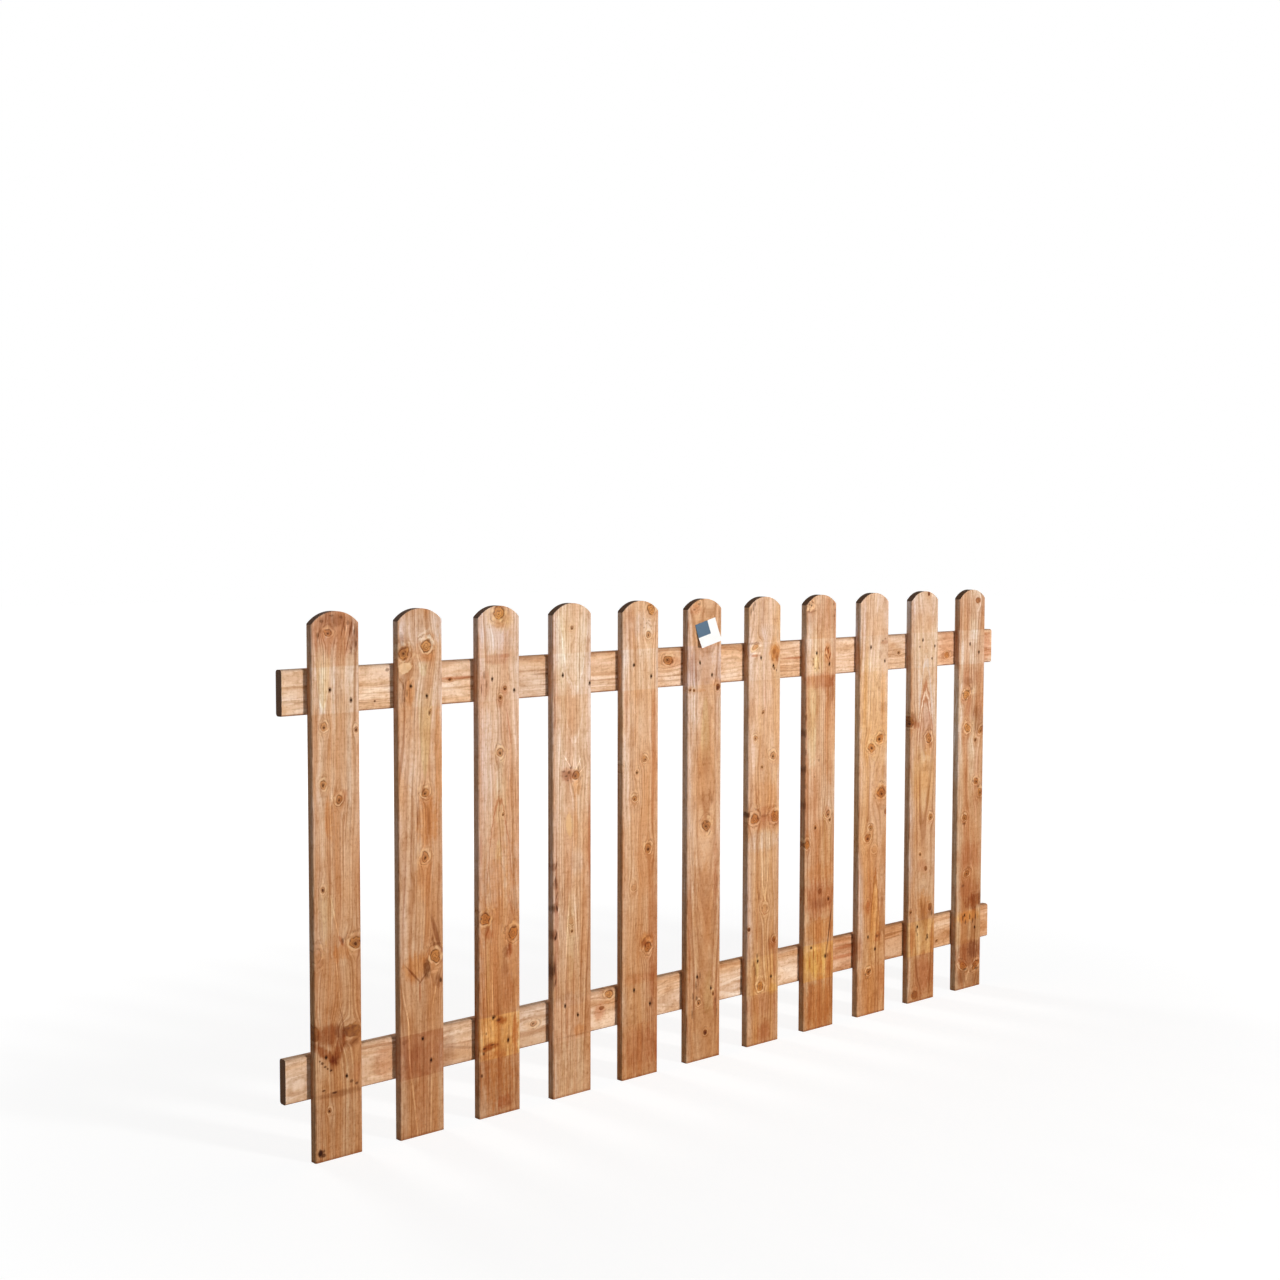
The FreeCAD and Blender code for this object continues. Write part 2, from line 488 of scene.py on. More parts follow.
def sawn_ends_group():
    """Darkens sawn ends, which drink more of the dip, and scuffs the long edges."""
    inputs = {"Place": "Vector", "Colour": "Color", **floats("Upright", "Half width", "Half thickness")}
    tree, given, leaving = new_group("sawn ends and edges", inputs, {"Colour": "Color"})
    x, y, z = parts_of(given["Place"])
    sawn = abs(given["Upright"]).ease(0.35, 0.6)
    arris = (given["Half width"] - abs(x)).most(given["Half thickness"] - abs(y)).ease(3.4, 0.8)
    scuffs = noise(vector_of(tree, x / 6.0, y / 6.0, z / 24.0), 1.0, 3.0).ease(0.42, 0.62)
    pores = noise(vector_of(tree, x / 1.6, y / 1.6, z / 1.6), 1.0, 2.0)
    sawn_colour = blend(pores.ease(0.35, 0.65), SAWN_DARK, SAWN_LIGHT)
    colour = tinted(arris * scuffs * 0.7, given["Colour"], (0.62, 0.50, 0.42, 1.0))
    wire(tree, leaving["Colour"], blend(sawn * 0.9, colour, sawn_colour))
    return tree


grain_parting = grain_parting_group()
trunk_rings = trunk_rings_group()
knot = knot_group()
speck = speck_group()
softwood = softwood_group()
stain = stain_group()
flame = flame_group()
picket_dip_and_shade = picket_dip_and_shade_group()
sawn_ends = sawn_ends_group()

# What a kind of knot looks like: how much of each mark it shows.
KnotKind = namedtuple("KnotKind", "fill darkness collar bark core")
AMBER = KnotKind(0.85, 0.20, 0.90, 0.85, 0.18)
BROWN = KnotKind(0.88, 0.45, 0.75, 0.75, 0.36)
DARK = KnotKind(0.95, 0.90, 0.40, 0.60, 0.55)
EYE = KnotKind(0.62, 0.28, 0.90, 0.70, 0.42)
PIN = KnotKind(0.70, 0.50, 0.50, 0.50, 0.62)
ROUGH = KnotKind(0.55, 0.40, 0.20, 0.25, 0.0)
LIGHT = KnotKind(0.75, -0.95, 0.0, 0.0, 0.0)
RING = KnotKind(0.15, 0.0, 0.60, 0.45, 0.0)
SCAR = KnotKind(0.90, 0.75, 0.0, 0.35, 0.0)

# Marks on a board, in millimetres: across from its middle, which is downwards on a rail, and along from its
# foot or left-hand end. A stain's tint is named once for all the stains of a board that have it.
Knot = namedtuple("Knot", "kind across along half_width half_height lean", defaults=(0.0,))
Speck = namedtuple("Speck", "across along half_width half_height strength", defaults=(0.9,))
Stain = namedtuple("Stain", "across along half_width half_height strength lean", defaults=(0.0,))
Flame = namedtuple("Flame", "tint rim across tip length half_width strength rim_width", defaults=(0.11,))
Grain = namedtuple("Grain", "pith_across pith_behind ring_width taper wander strength")

# A board: its grain, its own cast, its golden wood, its bands by the rails, and its marks. The numbers of a
# mark stand in the order above, and a nail's are across and along.
Board = namedtuple(
    "Board", "grain cast golden upper lower knots specks stains flames nails", defaults=((), (), {}, (), ()))

# The bruise about a nail: half its width, half its height and its strength.
NAIL_BRUISE = (3.2, 5.0, 0.9)

BOARDS = {
    "picket_01": Board(
        Grain(60, 60, 2.9, 0.0015, 9, 0.6), (0.965, 0.94, 0.91, 1.0), GOLDEN, PALE_BAND,
        (1.03, 1.02, 0.98, 1.0),
        knots=[(EYE, -14, 864, 7, 6), (EYE, -22, 712, 6, 6), (PIN, 38, 704, 4, 5), (EYE, -25, 618, 6, 7),
            (EYE, 5, 592, 6, 7), (PIN, -27, 447, 4, 5), (BROWN, 34, 351, 12, 9), (RING, -40, 338, 9, 11),
            (SCAR, 28, 205, 16, 10, -0.3), (SCAR, -43, 211, 6, 12), (PIN, -18, 81, 4, 4)],
        specks=[(-36, 168, 2, 2), (-31, 164, 3, 3), (-26, 157, 3, 2), (-21, 153, 2, 2), (-15, 149, 3, 2),
            (-29, 118, 4, 2), (-8, 111, 5, 2), (24, 124, 4, 3, 0.7), (34, 118, 4, 3, 0.8),
            # The specks at 16 and 11 along are painted shade in a chip at the foot's left corner.
            (-36, 16, 6, 6), (-30, 11, 5, 4), (9, 360, 3, 5, 0.6), (-33, 862, 3, 5, 0.5),
            (-25, 884, 4, 3, 0.5), (-7, 893, 5, 2, 0.5), (11, 890, 4, 3, 0.5), (24, 880, 3, 4, 0.5),
            (36, 866, 2, 6, 0.6), (39, 846, 2, 7, 0.6), (18, 872, 2, 5, 0.4), (30, 836, 2, 6, 0.4)],
        stains={
            RUST: [(0, 870, 50, 52, 0.75), (13, 600, 9, 10, 0.7), (7, 360, 4, 10, 1.0, -0.5),
                (34, 136, 10, 20, 0.5)],
            UMBER: [(-4, 886, 26, 14, 0.7), (34, 854, 9, 34, 0.7), (26, 858, 1.7, 30, 1.0, 0.25),
                (14, 872, 1.7, 18, 0.9, 0.25), (-30, 866, 1.7, 16, 0.8, 0.3), (7, 232, 2, 20, 0.8, -0.2),
                (4, 212, 14, 14, 0.6), (-4, 166, 7, 12, 0.6), (24, 188, 18, 7, 0.6), (0, 108, 48, 6, 0.7)],
            PINK: [(-14, 862, 3, 10, 0.9, 0.6), (-30, 700, 14, 110, 0.25), (3, 772, 9, 36, 0.5),
                (0, 50, 60, 64, 0.25)],
            CREAM: [(20, 866, 1.4, 20, 0.9, 0.25), (32, 862, 1.2, 26, 0.8, 0.25), (-9, 597, 1.6, 12, 0.9),
                (-6, 404, 1.4, 44, 0.7, -0.22), (1, 284, 1.3, 70, 0.6, -0.10)],
            BLEACHED: [(-38, 772, 5, 36, 0.8), (-34, 140, 16, 26, 0.4), (14, 142, 26, 18, 0.35)],
            SHADE: [(-28, 772, 6, 40, 0.9), (24, 640, 5, 100, 0.9)],
            ORANGE: [(-14, 560, 9, 36, 0.8), (0, 470, 60, 110, 0.3), (6, 340, 18, 14, 0.7),
                (-24, 290, 24, 80, 0.5)],
            STRAW: [(-22, 410, 16, 50, 0.5)],
            EMBER: [(-16, 208, 26, 20, 0.9), (-25, 178, 12, 22, 1.0, -0.95), (0, 178, 11, 32, 1.0, 0.42)],
            # The pitch marks are painted shade in the chip at the foot's left corner.
            PITCH: [(-36, 15, 4, 8, 1.0), (-29, 18, 2.5, 3, 0.8)],
        },
        flames=[((1.13, 1.22, 1.14, 1.0), BLEACHED, -24, 740, 105, 16, 1.0, 0.09)],
        nails=[(-11, 773), (29, 754), (-24, 172), (15, 134)],
    ),
    "picket_02": Board(
        Grain(-50, 80, 3.0, -0.0015, 10, 0.6), (0.975, 0.945, 0.92, 1.0), GOLDEN, FAINT_BAND, RED_BAND,
        knots=[(BROWN, -33, 824, 10, 10), (LIGHT, -30, 799, 13, 9), (AMBER, 12, 832, 10, 10),
            (PIN, 18, 722, 3, 5, 0.3), (EYE, 10, 586, 7, 7), (EYE, 8, 477, 7, 8), (AMBER, 28, 303, 10, 10)],
        specks=[(-34, 770, 2, 7, 0.6), (-27, 758, 2, 8, 0.6), (-32, 748, 2, 5, 0.6), (39, 262, 3, 5)],
        stains={
            ORANGE: [(12, 892, 6, 14, 0.6), (14, 818, 16, 8, 0.6), (-21, 760, 10, 26, 0.8),
                (36, 640, 9, 100, 0.8), (12, 540, 26, 42, 0.9), (4, 446, 16, 44, 0.6),
                (-10, 292, 28, 26, 1.0), (-1, 120, 14, 120, 0.4)],
            PINK: [(0, 868, 56, 38, 1.0), (-37, 772, 8, 32, 0.6), (-26, 660, 16, 70, 0.6),
                (0, 60, 60, 150, 0.25)],
            BLEACHED: [(0, 860, 60, 50, 0.5), (32, 140, 12, 40, 0.5)],
            UMBER: [(-38, 846, 6, 14, 0.6), (-30, 768, 1.7, 18, 0.8, 0.1), (-22, 760, 1.6, 20, 0.7),
                (-36, 756, 1.6, 14, 0.7), (-9, 764, 1.6, 22, 0.6), (-12, 718, 2, 22, 0.5, 0.1),
                # The umber stroke at 346 along is painted shade in a crack.
                (-6, 552, 3, 26, 0.7), (15, 536, 3, 28, 0.7), (29, 346, 5, 34, 1.0, -0.28),
                (24, 330, 3, 14, 0.9, -0.2), (-17, 280, 3, 19, 1.0, -0.90), (2, 271, 3, 9, 1.0, 0.9),
                (34, 262, 8, 12, 0.7), (-34, 168, 8, 4, 0.5)],
            RUST: [(-20, 140, 20, 40, 0.35), (-4, 250, 2.6, 22, 0.9), (2, 56, 18, 60, 0.35)],
            PITCH: [(11, 286, 9, 18, 0.75)],
            CREAM: [(24, 279, 13, 3, 0.8), (-33, 225, 1.9, 34, 1.0, -0.20),
                (-27, 164, 1.9, 44, 1.0, -0.03), (-18, 70, 1.9, 82, 1.0, -0.12),
                (20, 112, 1.8, 130, 1.0, 0.025), (27, 245, 1.7, 28, 0.9, 0.23)],
        },
        flames=[(STRAW, NO_TINT, 9, 612, 170, 16, 1.0), (STRAW, NO_TINT, 6, 784, 30, 12, 0.8),
            (NO_TINT, BLEACHED, -2, 418, 120, 22, 0.5)],
        nails=[(-19, 770), (13, 752), (1, 167), (18, 127)],
    ),
    "picket_03": Board(
        Grain(60, 70, 3.4, -0.002, 8, 0.5), (1.01, 1.015, 1.035, 1.0), PINKER, FAINT_BAND,
        (1.30, 1.46, 1.22, 1.0),
        knots=[(AMBER, 0, 886, 12, 11), (PIN, 13, 754, 4, 4), (PIN, 3, 739, 4, 4), (EYE, 2, 641, 7, 7),
            (PIN, 8, 533, 3, 3), (AMBER, -32, 350, 10, 10), (AMBER, 30, 318, 10, 10)],
        specks=[(-12, 177, 4, 4), (-4, 170, 6, 3, 0.7), (-40, 77, 3, 4), (-36, 116, 3, 3),
            (-34, 124, 4, 2, 0.8), (-16, 128, 5, 2, 0.7), (-30, 150, 2, 3, 0.7), (-32, 780, 2, 9, 0.5),
            (-27, 764, 2, 8, 0.5), (-38, 756, 2, 8, 0.5)],
        stains={
            PINK: [(-8, 842, 34, 30, 0.5), (14, 836, 24, 34, 0.3), (-26, 620, 16, 90, 0.4),
                (0, 640, 7, 90, 0.4), (-20, 410, 22, 34, 0.6)],
            YELLOW: [(8, 874, 20, 20, 0.6)],
            RUST: [(2, 866, 14, 6, 0.6), (-8, 806, 26, 10, 0.5), (16, 812, 12, 4, 0.6),
                (10, 750, 9, 10, 0.5), (0, 733, 9, 12, 0.4), (-30, 766, 12, 26, 0.5),
                (21, 690, 1.8, 34, 0.9, -0.16), (-40, 476, 3, 30, 0.6), (24, 372, 2.5, 34, 0.5, -0.3),
                (21, 290, 7, 16, 1.0, 0.2), (-22, 326, 9, 10, 0.8), (14, 230, 14, 46, 0.4),
                (34, 140, 8, 44, 0.9), (-14, 110, 34, 8, 0.6), (10, 22, 20, 14, 0.9)],
            BLEACHED: [(-26, 702, 16, 26, 0.4), (34, 376, 9, 30, 0.5, -0.2)],
            ORANGE: [(26, 610, 4, 80, 0.4), (0, 246, 64, 230, 0.85), (-10, 60, 40, 50, 0.6)],
            UMBER: [(27, 610, 2, 24, 0.5), (15, 290, 9, 14, 0.8, 0.3), (10, 262, 8, 22, 0.5),
                (18, 132, 4, 10, 0.8)],
            STRAW: [(3, 570, 13, 70, 0.5), (-26, 230, 4, 70, 0.8)],
            CREAM: [(-16, 214, 1.5, 80, 0.7), (-32, 226, 1.4, 70, 0.5), (-30, 154, 7, 16, 0.5),
                (29, 60, 1.3, 64, 0.6)],
            EMBER: [(3, 168, 13, 8, 1.0), (-25, 124, 17, 8, 1.0, 0.8)],
            SHADE: [(0, 48, 60, 64, 0.9)],
        },
        flames=[(STRAW, NO_TINT, -2, 492, -50, 10, 0.8), (NO_TINT, RUST, 0, 560, -220, 34, 0.9, 0.06)],
        nails=[(-15, 773), (33, 751), (-15, 176), (18, 130)],
    ),
    "picket_04": Board(
        Grain(50, 60, 3.6, 0.001, 8, 0.5), (1.045, 1.10, 1.16, 1.0), PINKER, FAINT_BAND,
        (1.10, 1.12, 1.18, 1.0),
        knots=[(PIN, -1, 855, 4, 4), (BROWN, 9, 586, 8, 8), (LIGHT, -8, 497, 6, 20),
            (RING, -3, 320, 5, 5), (PIN, -1, 302, 3, 3)],
        specks=[(-8, 594, 4, 3, 0.7), (-14, 588, 4, 2, 0.6), (-4, 602, 3, 3, 0.7), (-20, 597, 4, 2, 0.6),
            (14, 600, 2, 4, 0.6), (-10, 580, 3, 2, 0.5), (-43, 350, 3, 8, 0.7), (-44, 236, 3, 14, 0.5),
            (-40, 296, 3, 4, 0.6)],
        stains={
            RUST: [(-7, 591, 22, 14, 0.7), (-37, 300, 6, 120, 0.6), (40, 470, 4, 90, 0.6)],
            UMBER: [(-10, 590, 14, 9, 0.6), (-42, 750, 3, 34, 0.8), (-41, 700, 3, 34, 0.7),
                (-5, 610, 1.3, 12, 0.6, -0.4), (-42, 426, 4, 9, 0.9), (-39, 394, 5, 12, 0.8),
                (-39, 352, 7, 13, 0.9), (-41, 302, 7, 10, 0.9), (-41, 236, 6, 34, 0.9),
                (0, 110, 40, 2, 0.4)],
            STRAW: [(-6, 498, 9, 22, 1.0), (-28, 820, 12, 70, 0.4), (-4, 290, 10, 90, 0.6)],
            CREAM: [(-10, 612, 1.3, 16, 0.9, -0.7), (2, 614, 1.3, 17, 0.9, -0.1),
                (15, 610, 1.3, 17, 0.9, 0.6), (22, 596, 1.3, 9, 0.9, 1.2), (-12, 300, 1.8, 84, 0.9, 0.06),
                (10, 300, 1.7, 84, 0.8, -0.08), (-32, 296, 1.5, 20, 0.8, -0.15),
                (-31, 352, 1.5, 16, 0.8, 0.1), (-16, 60, 1.5, 74, 0.5)],
            ORANGE: [(9, 566, 10, 16, 0.8), (8, 505, 5, 60, 0.6), (0, 450, 60, 90, 0.35),
                (16, 118, 14, 12, 0.8), (26, 300, 12, 110, 0.4)],
            BLEACHED: [(-28, 500, 2, 60, 0.6), (0, 280, 60, 100, 0.2), (0, 50, 50, 70, 0.6)],
            PINK: [(10, 430, 16, 24, 0.5), (0, 178, 44, 14, 0.5)],
            PITCH: [(-37, 428, 1.6, 8, 0.8, 0.2), (-39, 398, 1.8, 14, 0.8, -0.1),
                (-37, 372, 1.6, 9, 0.7, 0.3), (-36, 350, 2.6, 7, 0.9, -0.3), (-38, 300, 2.2, 9, 0.9, 0.3),
                (-41, 240, 2.0, 14, 0.8), (-40, 214, 1.6, 8, 0.8, 0.2)],
        },
        flames=[((1.05, 1.10, 1.07, 1.0), BLEACHED, 5, 740, 180, 40, 0.8, 0.05),
            (NO_TINT, BLEACHED, 4, 650, 110, 30, 0.7, 0.08)],
        nails=[(-22, 771), (41, 754), (-17, 168), (13, 146)],
    ),
    "picket_05": Board(
        Grain(-70, 70, 3.6, 0.001, 8, 0.45), (1.01, 0.98, 0.93, 1.0), GOLDEN, (1.05, 1.18, 1.36, 1.0),
        FAINT_BAND,
        knots=[(AMBER, 25, 881, 9, 9), (EYE, 19, 834, 6, 6), (EYE, 11, 602, 6, 5), (PIN, -9, 578, 4, 4),
            (RING, -44, 587, 4, 7), (EYE, -15, 530, 6, 5), (EYE, 19, 432, 8, 8), (RING, -16, 362, 7, 6),
            (AMBER, 20, 243, 9, 9)],
        specks=[(6, 866, 2, 2, 0.4), (14, 858, 2, 2, 0.4), (8, 850, 2, 2, 0.4), (20, 862, 2, 2, 0.4),
            (26, 852, 2, 2, 0.4), (0, 856, 2, 2, 0.4)],
        stains={
            PINK: [(10, 856, 34, 26, 0.8), (-28, 600, 16, 120, 0.4)],
            RUST: [(-28, 850, 18, 40, 0.35), (33, 600, 9, 130, 0.55), (30, 180, 6, 44, 0.7),
                (0, 52, 46, 48, 0.6), (-6, 190, 40, 10, 0.4), (-36, 700, 6, 60, 0.5),
                (34, 180, 26, 210, 0.5)],
            ORANGE: [(14, 258, 18, 18, 1.0), (12, 400, 24, 60, 0.4)],
            UMBER: [(9, 254, 7, 10, 0.8), (28, 138, 4, 12, 0.8), (6, 70, 2, 34, 0.6)],
            BLEACHED: [(24, 228, 4, 10, 0.8, 0.5), (-18, 420, 1.4, 120, 0.6), (-8, 330, 1.3, 90, 0.6),
                (-36, 190, 12, 190, 0.6)],
        },
        flames=[(NO_TINT, BLEACHED, -13, 690, 24, 7, 0.9)],
        nails=[(-17, 781), (26, 758), (-15, 168), (25, 136)],
    ),
    "picket_06": Board(
        Grain(4, 62, 4.2, -0.003, 8, 0.5), (0.98, 0.995, 1.015, 1.0), GOLDEN, (1.0, 1.06, 1.24, 1.0),
        (1.04, 1.06, 1.12, 1.0),
        knots=[(RING, -22, 888, 9, 7), (DARK, 35, 726, 6, 6), (PIN, -39, 725, 4, 3),
            (PIN, -29, 723, 3, 3), (BROWN, 5, 457, 10, 11), (EYE, -13, 113, 5, 5), (PIN, 26, 125, 3, 5),
            (DARK, 5, 51, 5, 5)],
        specks=[(-16, 890, 6, 2, 0.6), (-28, 880, 4, 2, 0.6), (-20, 150, 2, 9, 0.6),
            (-28, 130, 2, 8, 0.6), (-9, 168, 2, 8, 0.6), (-18, 124, 3, 5, 0.7), (32, 112, 2, 8, 0.6),
            (36, 88, 2, 12, 0.5), (-30, 96, 2, 10, 0.6)],
        stains={
            RUST: [(-24, 880, 16, 10, 0.6), (-34, 770, 3, 36, 0.6), (-22, 770, 2, 34, 0.5),
                (32, 360, 8, 90, 0.5), (-38, 260, 4, 110, 0.5), (32, 110, 6, 36, 0.6)],
            PINK: [(0, 720, 60, 110, 0.45)],
            BLEACHED: [(-28, 730, 1.6, 120, 0.8), (-20, 700, 1.2, 90, 0.5), (24, 742, 3, 8, 0.7),
                (-26, 672, 12, 16, 0.5), (-28, 380, 1.5, 90, 0.7), (-20, 340, 1.3, 110, 0.6),
                (-12, 118, 3, 8, 0.8), (30, 772, 14, 38, 0.5)],
            ORANGE: [(-14, 724, 18, 4, 0.5), (30, 738, 12, 10, 0.8), (0, 270, 60, 130, 0.5)],
            UMBER: [(-25, 502, 4, 8, 0.4), (20, 508, 4, 10, 0.4), (-16, 150, 4, 34, 0.6),
                (-26, 110, 3, 40, 0.6)],
            SHADE: [(0, 270, 60, 100, 0.5), (-22, 772, 20, 38, 0.9)],
            STRAW: [(14, 130, 14, 46, 0.7)],
        },
        flames=[(STRAW, NO_TINT, 2, 716, -150, 15, 0.9), (NO_TINT, BLEACHED, 4, 730, -220, 32, 0.5)],
        nails=[(-13, 777), (19, 752), (-17, 166), (20, 138)],
    ),
    "picket_07": Board(
        Grain(-58, 66, 3.8, 0.002, 8, 0.45), (0.985, 0.97, 1.005, 1.0), YELLOWER, FAINT_BAND,
        (1.14, 1.22, 1.16, 1.0),
        knots=[(LIGHT, -30, 797, 10, 7, 0.5), (RING, -29, 799, 8, 5, 0.6), (ROUGH, 31, 786, 9, 11),
            (PIN, -5, 669, 4, 4, 0.4), (EYE, 25, 579, 7, 7), (PIN, -6, 560, 3, 3), (EYE, -26, 618, 5, 5),
            (AMBER, -27, 455, 11, 9), (AMBER, 31, 455, 11, 10), (RING, 4, 272, 8, 7),
            (DARK, -40, 236, 4, 4), (BROWN, 31, 206, 5, 5), (AMBER, -8, 115, 8, 8)],
        specks=[(27, 756, 3, 3, 0.8), (33, 752, 2, 3, 0.8), (22, 760, 2, 3, 0.7), (-40, 872, 2, 9, 0.7),
            (-34, 880, 2, 8, 0.7), (-29, 886, 2, 6, 0.7), (-43, 468, 4, 7, 0.9), (-3, 276, 2, 3, 0.5),
            (10, 275, 2, 3, 0.5), (-17, 180, 2, 7, 0.8), (-21, 150, 2, 12, 0.6), (-26, 166, 2, 8, 0.6)],
        stains={
            PINK: [(10, 830, 40, 16, 0.3), (-4, 410, 48, 22, 0.8), (0, 360, 60, 200, 0.25)],
            RUST: [(-28, 784, 16, 3, 1.0), (2, 700, 2, 34, 0.6), (0, 466, 46, 16, 0.6),
                (0, 450, 50, 15, 0.6), (-18, 240, 2, 60, 0.5), (24, 200, 12, 14, 0.7),
                (5, 24, 20, 24, 0.8), (34, 60, 4, 50, 0.6), (-4, 80, 46, 22, 0.4), (34, 170, 6, 40, 0.6)],
            UMBER: [(-30, 808, 18, 3, 0.9), (26, 790, 6, 6, 0.7), (34, 776, 5, 8, 0.7),
                (22, 774, 3, 5, 0.7), (2, 462, 12, 3, 0.6, 1.4), (-24, 140, 2, 30, 0.7)],
            CREAM: [(-20, 803, 14, 2.5, 0.6), (-24, 788, 16, 2.5, 0.5)],
            ORANGE: [(30, 786, 17, 24, 1.0), (5, 500, 34, 36, 0.55)],
            BLEACHED: [(-28, 600, 12, 40, 0.5)],
            STRAW: [(-17, 160, 5, 26, 1.0)],
            YELLOW: [(28, 108, 14, 12, 0.8)],
        },
        flames=[((1.08, 1.16, 1.24, 1.0), CREAM, 4, 300, 190, 16, 0.9, 0.08),
            (NO_TINT, UMBER, -13, 300, 70, 7, 0.8, 0.16), (NO_TINT, RUST, 4, 262, 26, 11, 0.8)],
        nails=[(-11, 779), (24, 762), (-15, 170), (23, 133)],
    ),
    "picket_08": Board(
        Grain(-64, 76, 3.8, 0.001, 8, 0.55), (1.01, 1.035, 0.995, 1.0), REDDER, PALE_BAND, YELLOW_BAND,
        knots=[(EYE, 24, 444, 7, 7), (PIN, 30, 432, 4, 4), (PIN, -15, 420, 4, 4), (AMBER, -39, 386, 7, 8),
            (SCAR, 1, 286, 5, 5), (PIN, 27, 267, 4, 5)],
        specks=[(-25, 770, 2, 3, 0.7), (-19, 750, 2, 2, 0.7), (-7, 750, 2, 2, 0.6), (-24, 758, 2, 3, 0.6),
            (20, 790, 2, 3, 0.8), (24, 770, 2, 3, 0.8), (14, 776, 2, 3, 0.7), (-5, 560, 2, 3, 0.6),
            (-18, 527, 2, 3, 0.6), (36, 880, 2, 3, 0.7), (40, 868, 2, 3, 0.7), (38, 856, 2, 3, 0.6),
            (-43, 652, 2, 8, 0.6), (-44, 618, 2, 10, 0.6), (-43, 580, 2, 7, 0.6), (-44, 544, 2, 9, 0.6),
            (-43, 508, 2, 7, 0.6), (-44, 470, 2, 9, 0.5)],
        stains={
            RUST: [(0, 862, 50, 44, 0.35), (0, 724, 50, 18, 0.8), (-44, 560, 3, 180, 0.7),
                (22, 452, 8, 12, 0.6), (0, 272, 50, 42, 0.9), (-16, 158, 2.2, 12, 0.9),
                (-4, 146, 2.2, 14, 0.8), (-28, 142, 2.2, 16, 0.8), (8, 132, 2.2, 14, 0.8),
                (30, 130, 10, 26, 0.7), (-20, 60, 20, 40, 0.4)],
            PINK: [(-28, 842, 12, 26, 0.5), (0, 460, 60, 110, 0.3)],
            # The first three umber marks are painted shade, in the gaps between the torn fibres and under
            # their lip.
            UMBER: [(-38, 877, 6, 6, 0.8), (-28, 881, 2, 7, 0.7), (-29, 866, 11, 3, 0.6, 3.0),
                (-25, 762, 1.6, 9, 0.9, 0.15), (-9, 756, 1.6, 10, 0.9, -0.2), (30, 704, 10, 36, 0.6),
                (6, 262, 30, 12, 0.5), (22, 150, 9, 6, 1.0), (34, 90, 1.5, 60, 0.7, -0.06),
                (40, 80, 1.5, 60, 0.6)],
            SHADE: [(0, 640, 60, 100, 0.4)],
            ORANGE: [(20, 778, 12, 22, 0.7), (26, 620, 18, 110, 0.6), (-38, 400, 6, 24, 0.8),
                (10, 390, 30, 60, 0.5), (0, 326, 46, 22, 0.6), (0, 206, 46, 30, 0.9), (0, 50, 50, 60, 0.9)],
            EMBER: [(13, 789, 2.4, 6, 0.9, 0.5), (20, 784, 3.4, 7, 1.0, -0.4),
                (26, 774, 2.6, 8, 0.9, 0.3), (16, 772, 2.4, 5, 0.9, -0.5), (23, 763, 2.0, 6, 0.9, -0.2)],
            CREAM: [(15, 780, 1.6, 7, 0.6, 0.3), (24, 782, 1.4, 6, 0.5, -0.3), (-15, 764, 4, 12, 0.5),
                (-14, 168, 24, 4, 0.5)],
            YELLOW: [(-14, 762, 12, 22, 0.6), (-10, 140, 34, 34, 0.8)],
            STRAW: [(2, 758, 3, 22, 0.8), (-28, 640, 15, 100, 0.9), (14, 400, 3, 50, 0.7),
                (28, 390, 2, 50, 0.6)],
            BLEACHED: [(-32, 620, 15, 130, 0.8)],
            # Painted shade in a crack.
            PITCH: [(30, 202, 1.8, 60, 1.0, 0.16)],
        },
        nails=[(-14, 781), (24, 757), (-24, 172), (19, 149)],
    ),
    "picket_09": Board(
        Grain(30, 60, 4.2, 0.002, 8, 0.45), (0.99, 0.96, 0.965, 1.0), YELLOWER, FAINT_BAND, FAINT_BAND,
        knots=[(EYE, 19, 588, 10, 8, 0.2), (EYE, -6, 570, 10, 8, -0.2), (BROWN, 26, 471, 12, 11),
            (SCAR, 40, 430, 4, 6), (BROWN, -8, 400, 6, 5), (EYE, -17, 379, 9, 7, 0.3),
            (RING, -12, 236, 6, 7), (RING, 5, 352, 7, 6), (EYE, -10, 91, 7, 6)],
        specks=[(-18, 88, 3, 3, 0.7), (-4, 94, 3, 3, 0.7), (-12, 80, 5, 2, 0.6), (26, 798, 3, 2, 0.5),
            (34, 802, 3, 2, 0.5), (18, 166, 5, 4, 0.6)],
        stains={
            SHADE: [(0, 830, 60, 90, 0.5)],
            YELLOW: [(0, 640, 60, 130, 0.45)],
            ORANGE: [(28, 670, 7, 70, 0.6), (0, 330, 46, 40, 0.4), (2, 230, 30, 90, 0.55),
                (0, 52, 60, 70, 0.4), (20, 590, 13, 13, 0.6), (-6, 572, 12, 12, 0.6),
                (26, 474, 18, 18, 0.8)],
            UMBER: [(27, 664, 1.6, 60, 0.6), (-12, 690, 1.5, 60, 0.4), (11, 140, 4, 5, 0.8)],
            PINK: [(40, 520, 6, 60, 0.6), (-38, 240, 7, 90, 0.6), (0, 270, 60, 100, 0.2)],
            RUST: [(32, 795, 12, 4, 0.5), (-14, 232, 8, 16, 0.8), (-6, 260, 6, 40, 0.5),
                (20, 164, 12, 12, 0.8), (-38, 150, 8, 34, 0.6), (30, 70, 10, 40, 0.5),
                (-17, 380, 9, 9, 0.7)],
        },
        flames=[((1.12, 1.12, 0.94, 1.0), (0.74, 0.56, 0.40, 1.0), 10, 294, -200, 19, 1.0, 0.12)],
        nails=[(-12, 786), (33, 755), (-12, 168), (11, 139)],
    ),
    "picket_10": Board(
        Grain(6, 58, 3.8, -0.004, 8, 0.5), (0.96, 0.995, 1.03, 1.0), GOLDEN, FAINT_BAND,
        (1.14, 1.16, 0.94, 1.0),
        knots=[(DARK, 12, 893, 4, 5), (BROWN, -46, 614, 9, 10), (AMBER, 17, 576, 9, 9),
            (BROWN, 26, 402, 7, 6), (PIN, -8, 324, 4, 4), (SCAR, 12, 290, 5, 5), (SCAR, 28, 202, 7, 8),
            (PIN, -37, 200, 4, 4), (SCAR, -22, 13, 10, 9)],
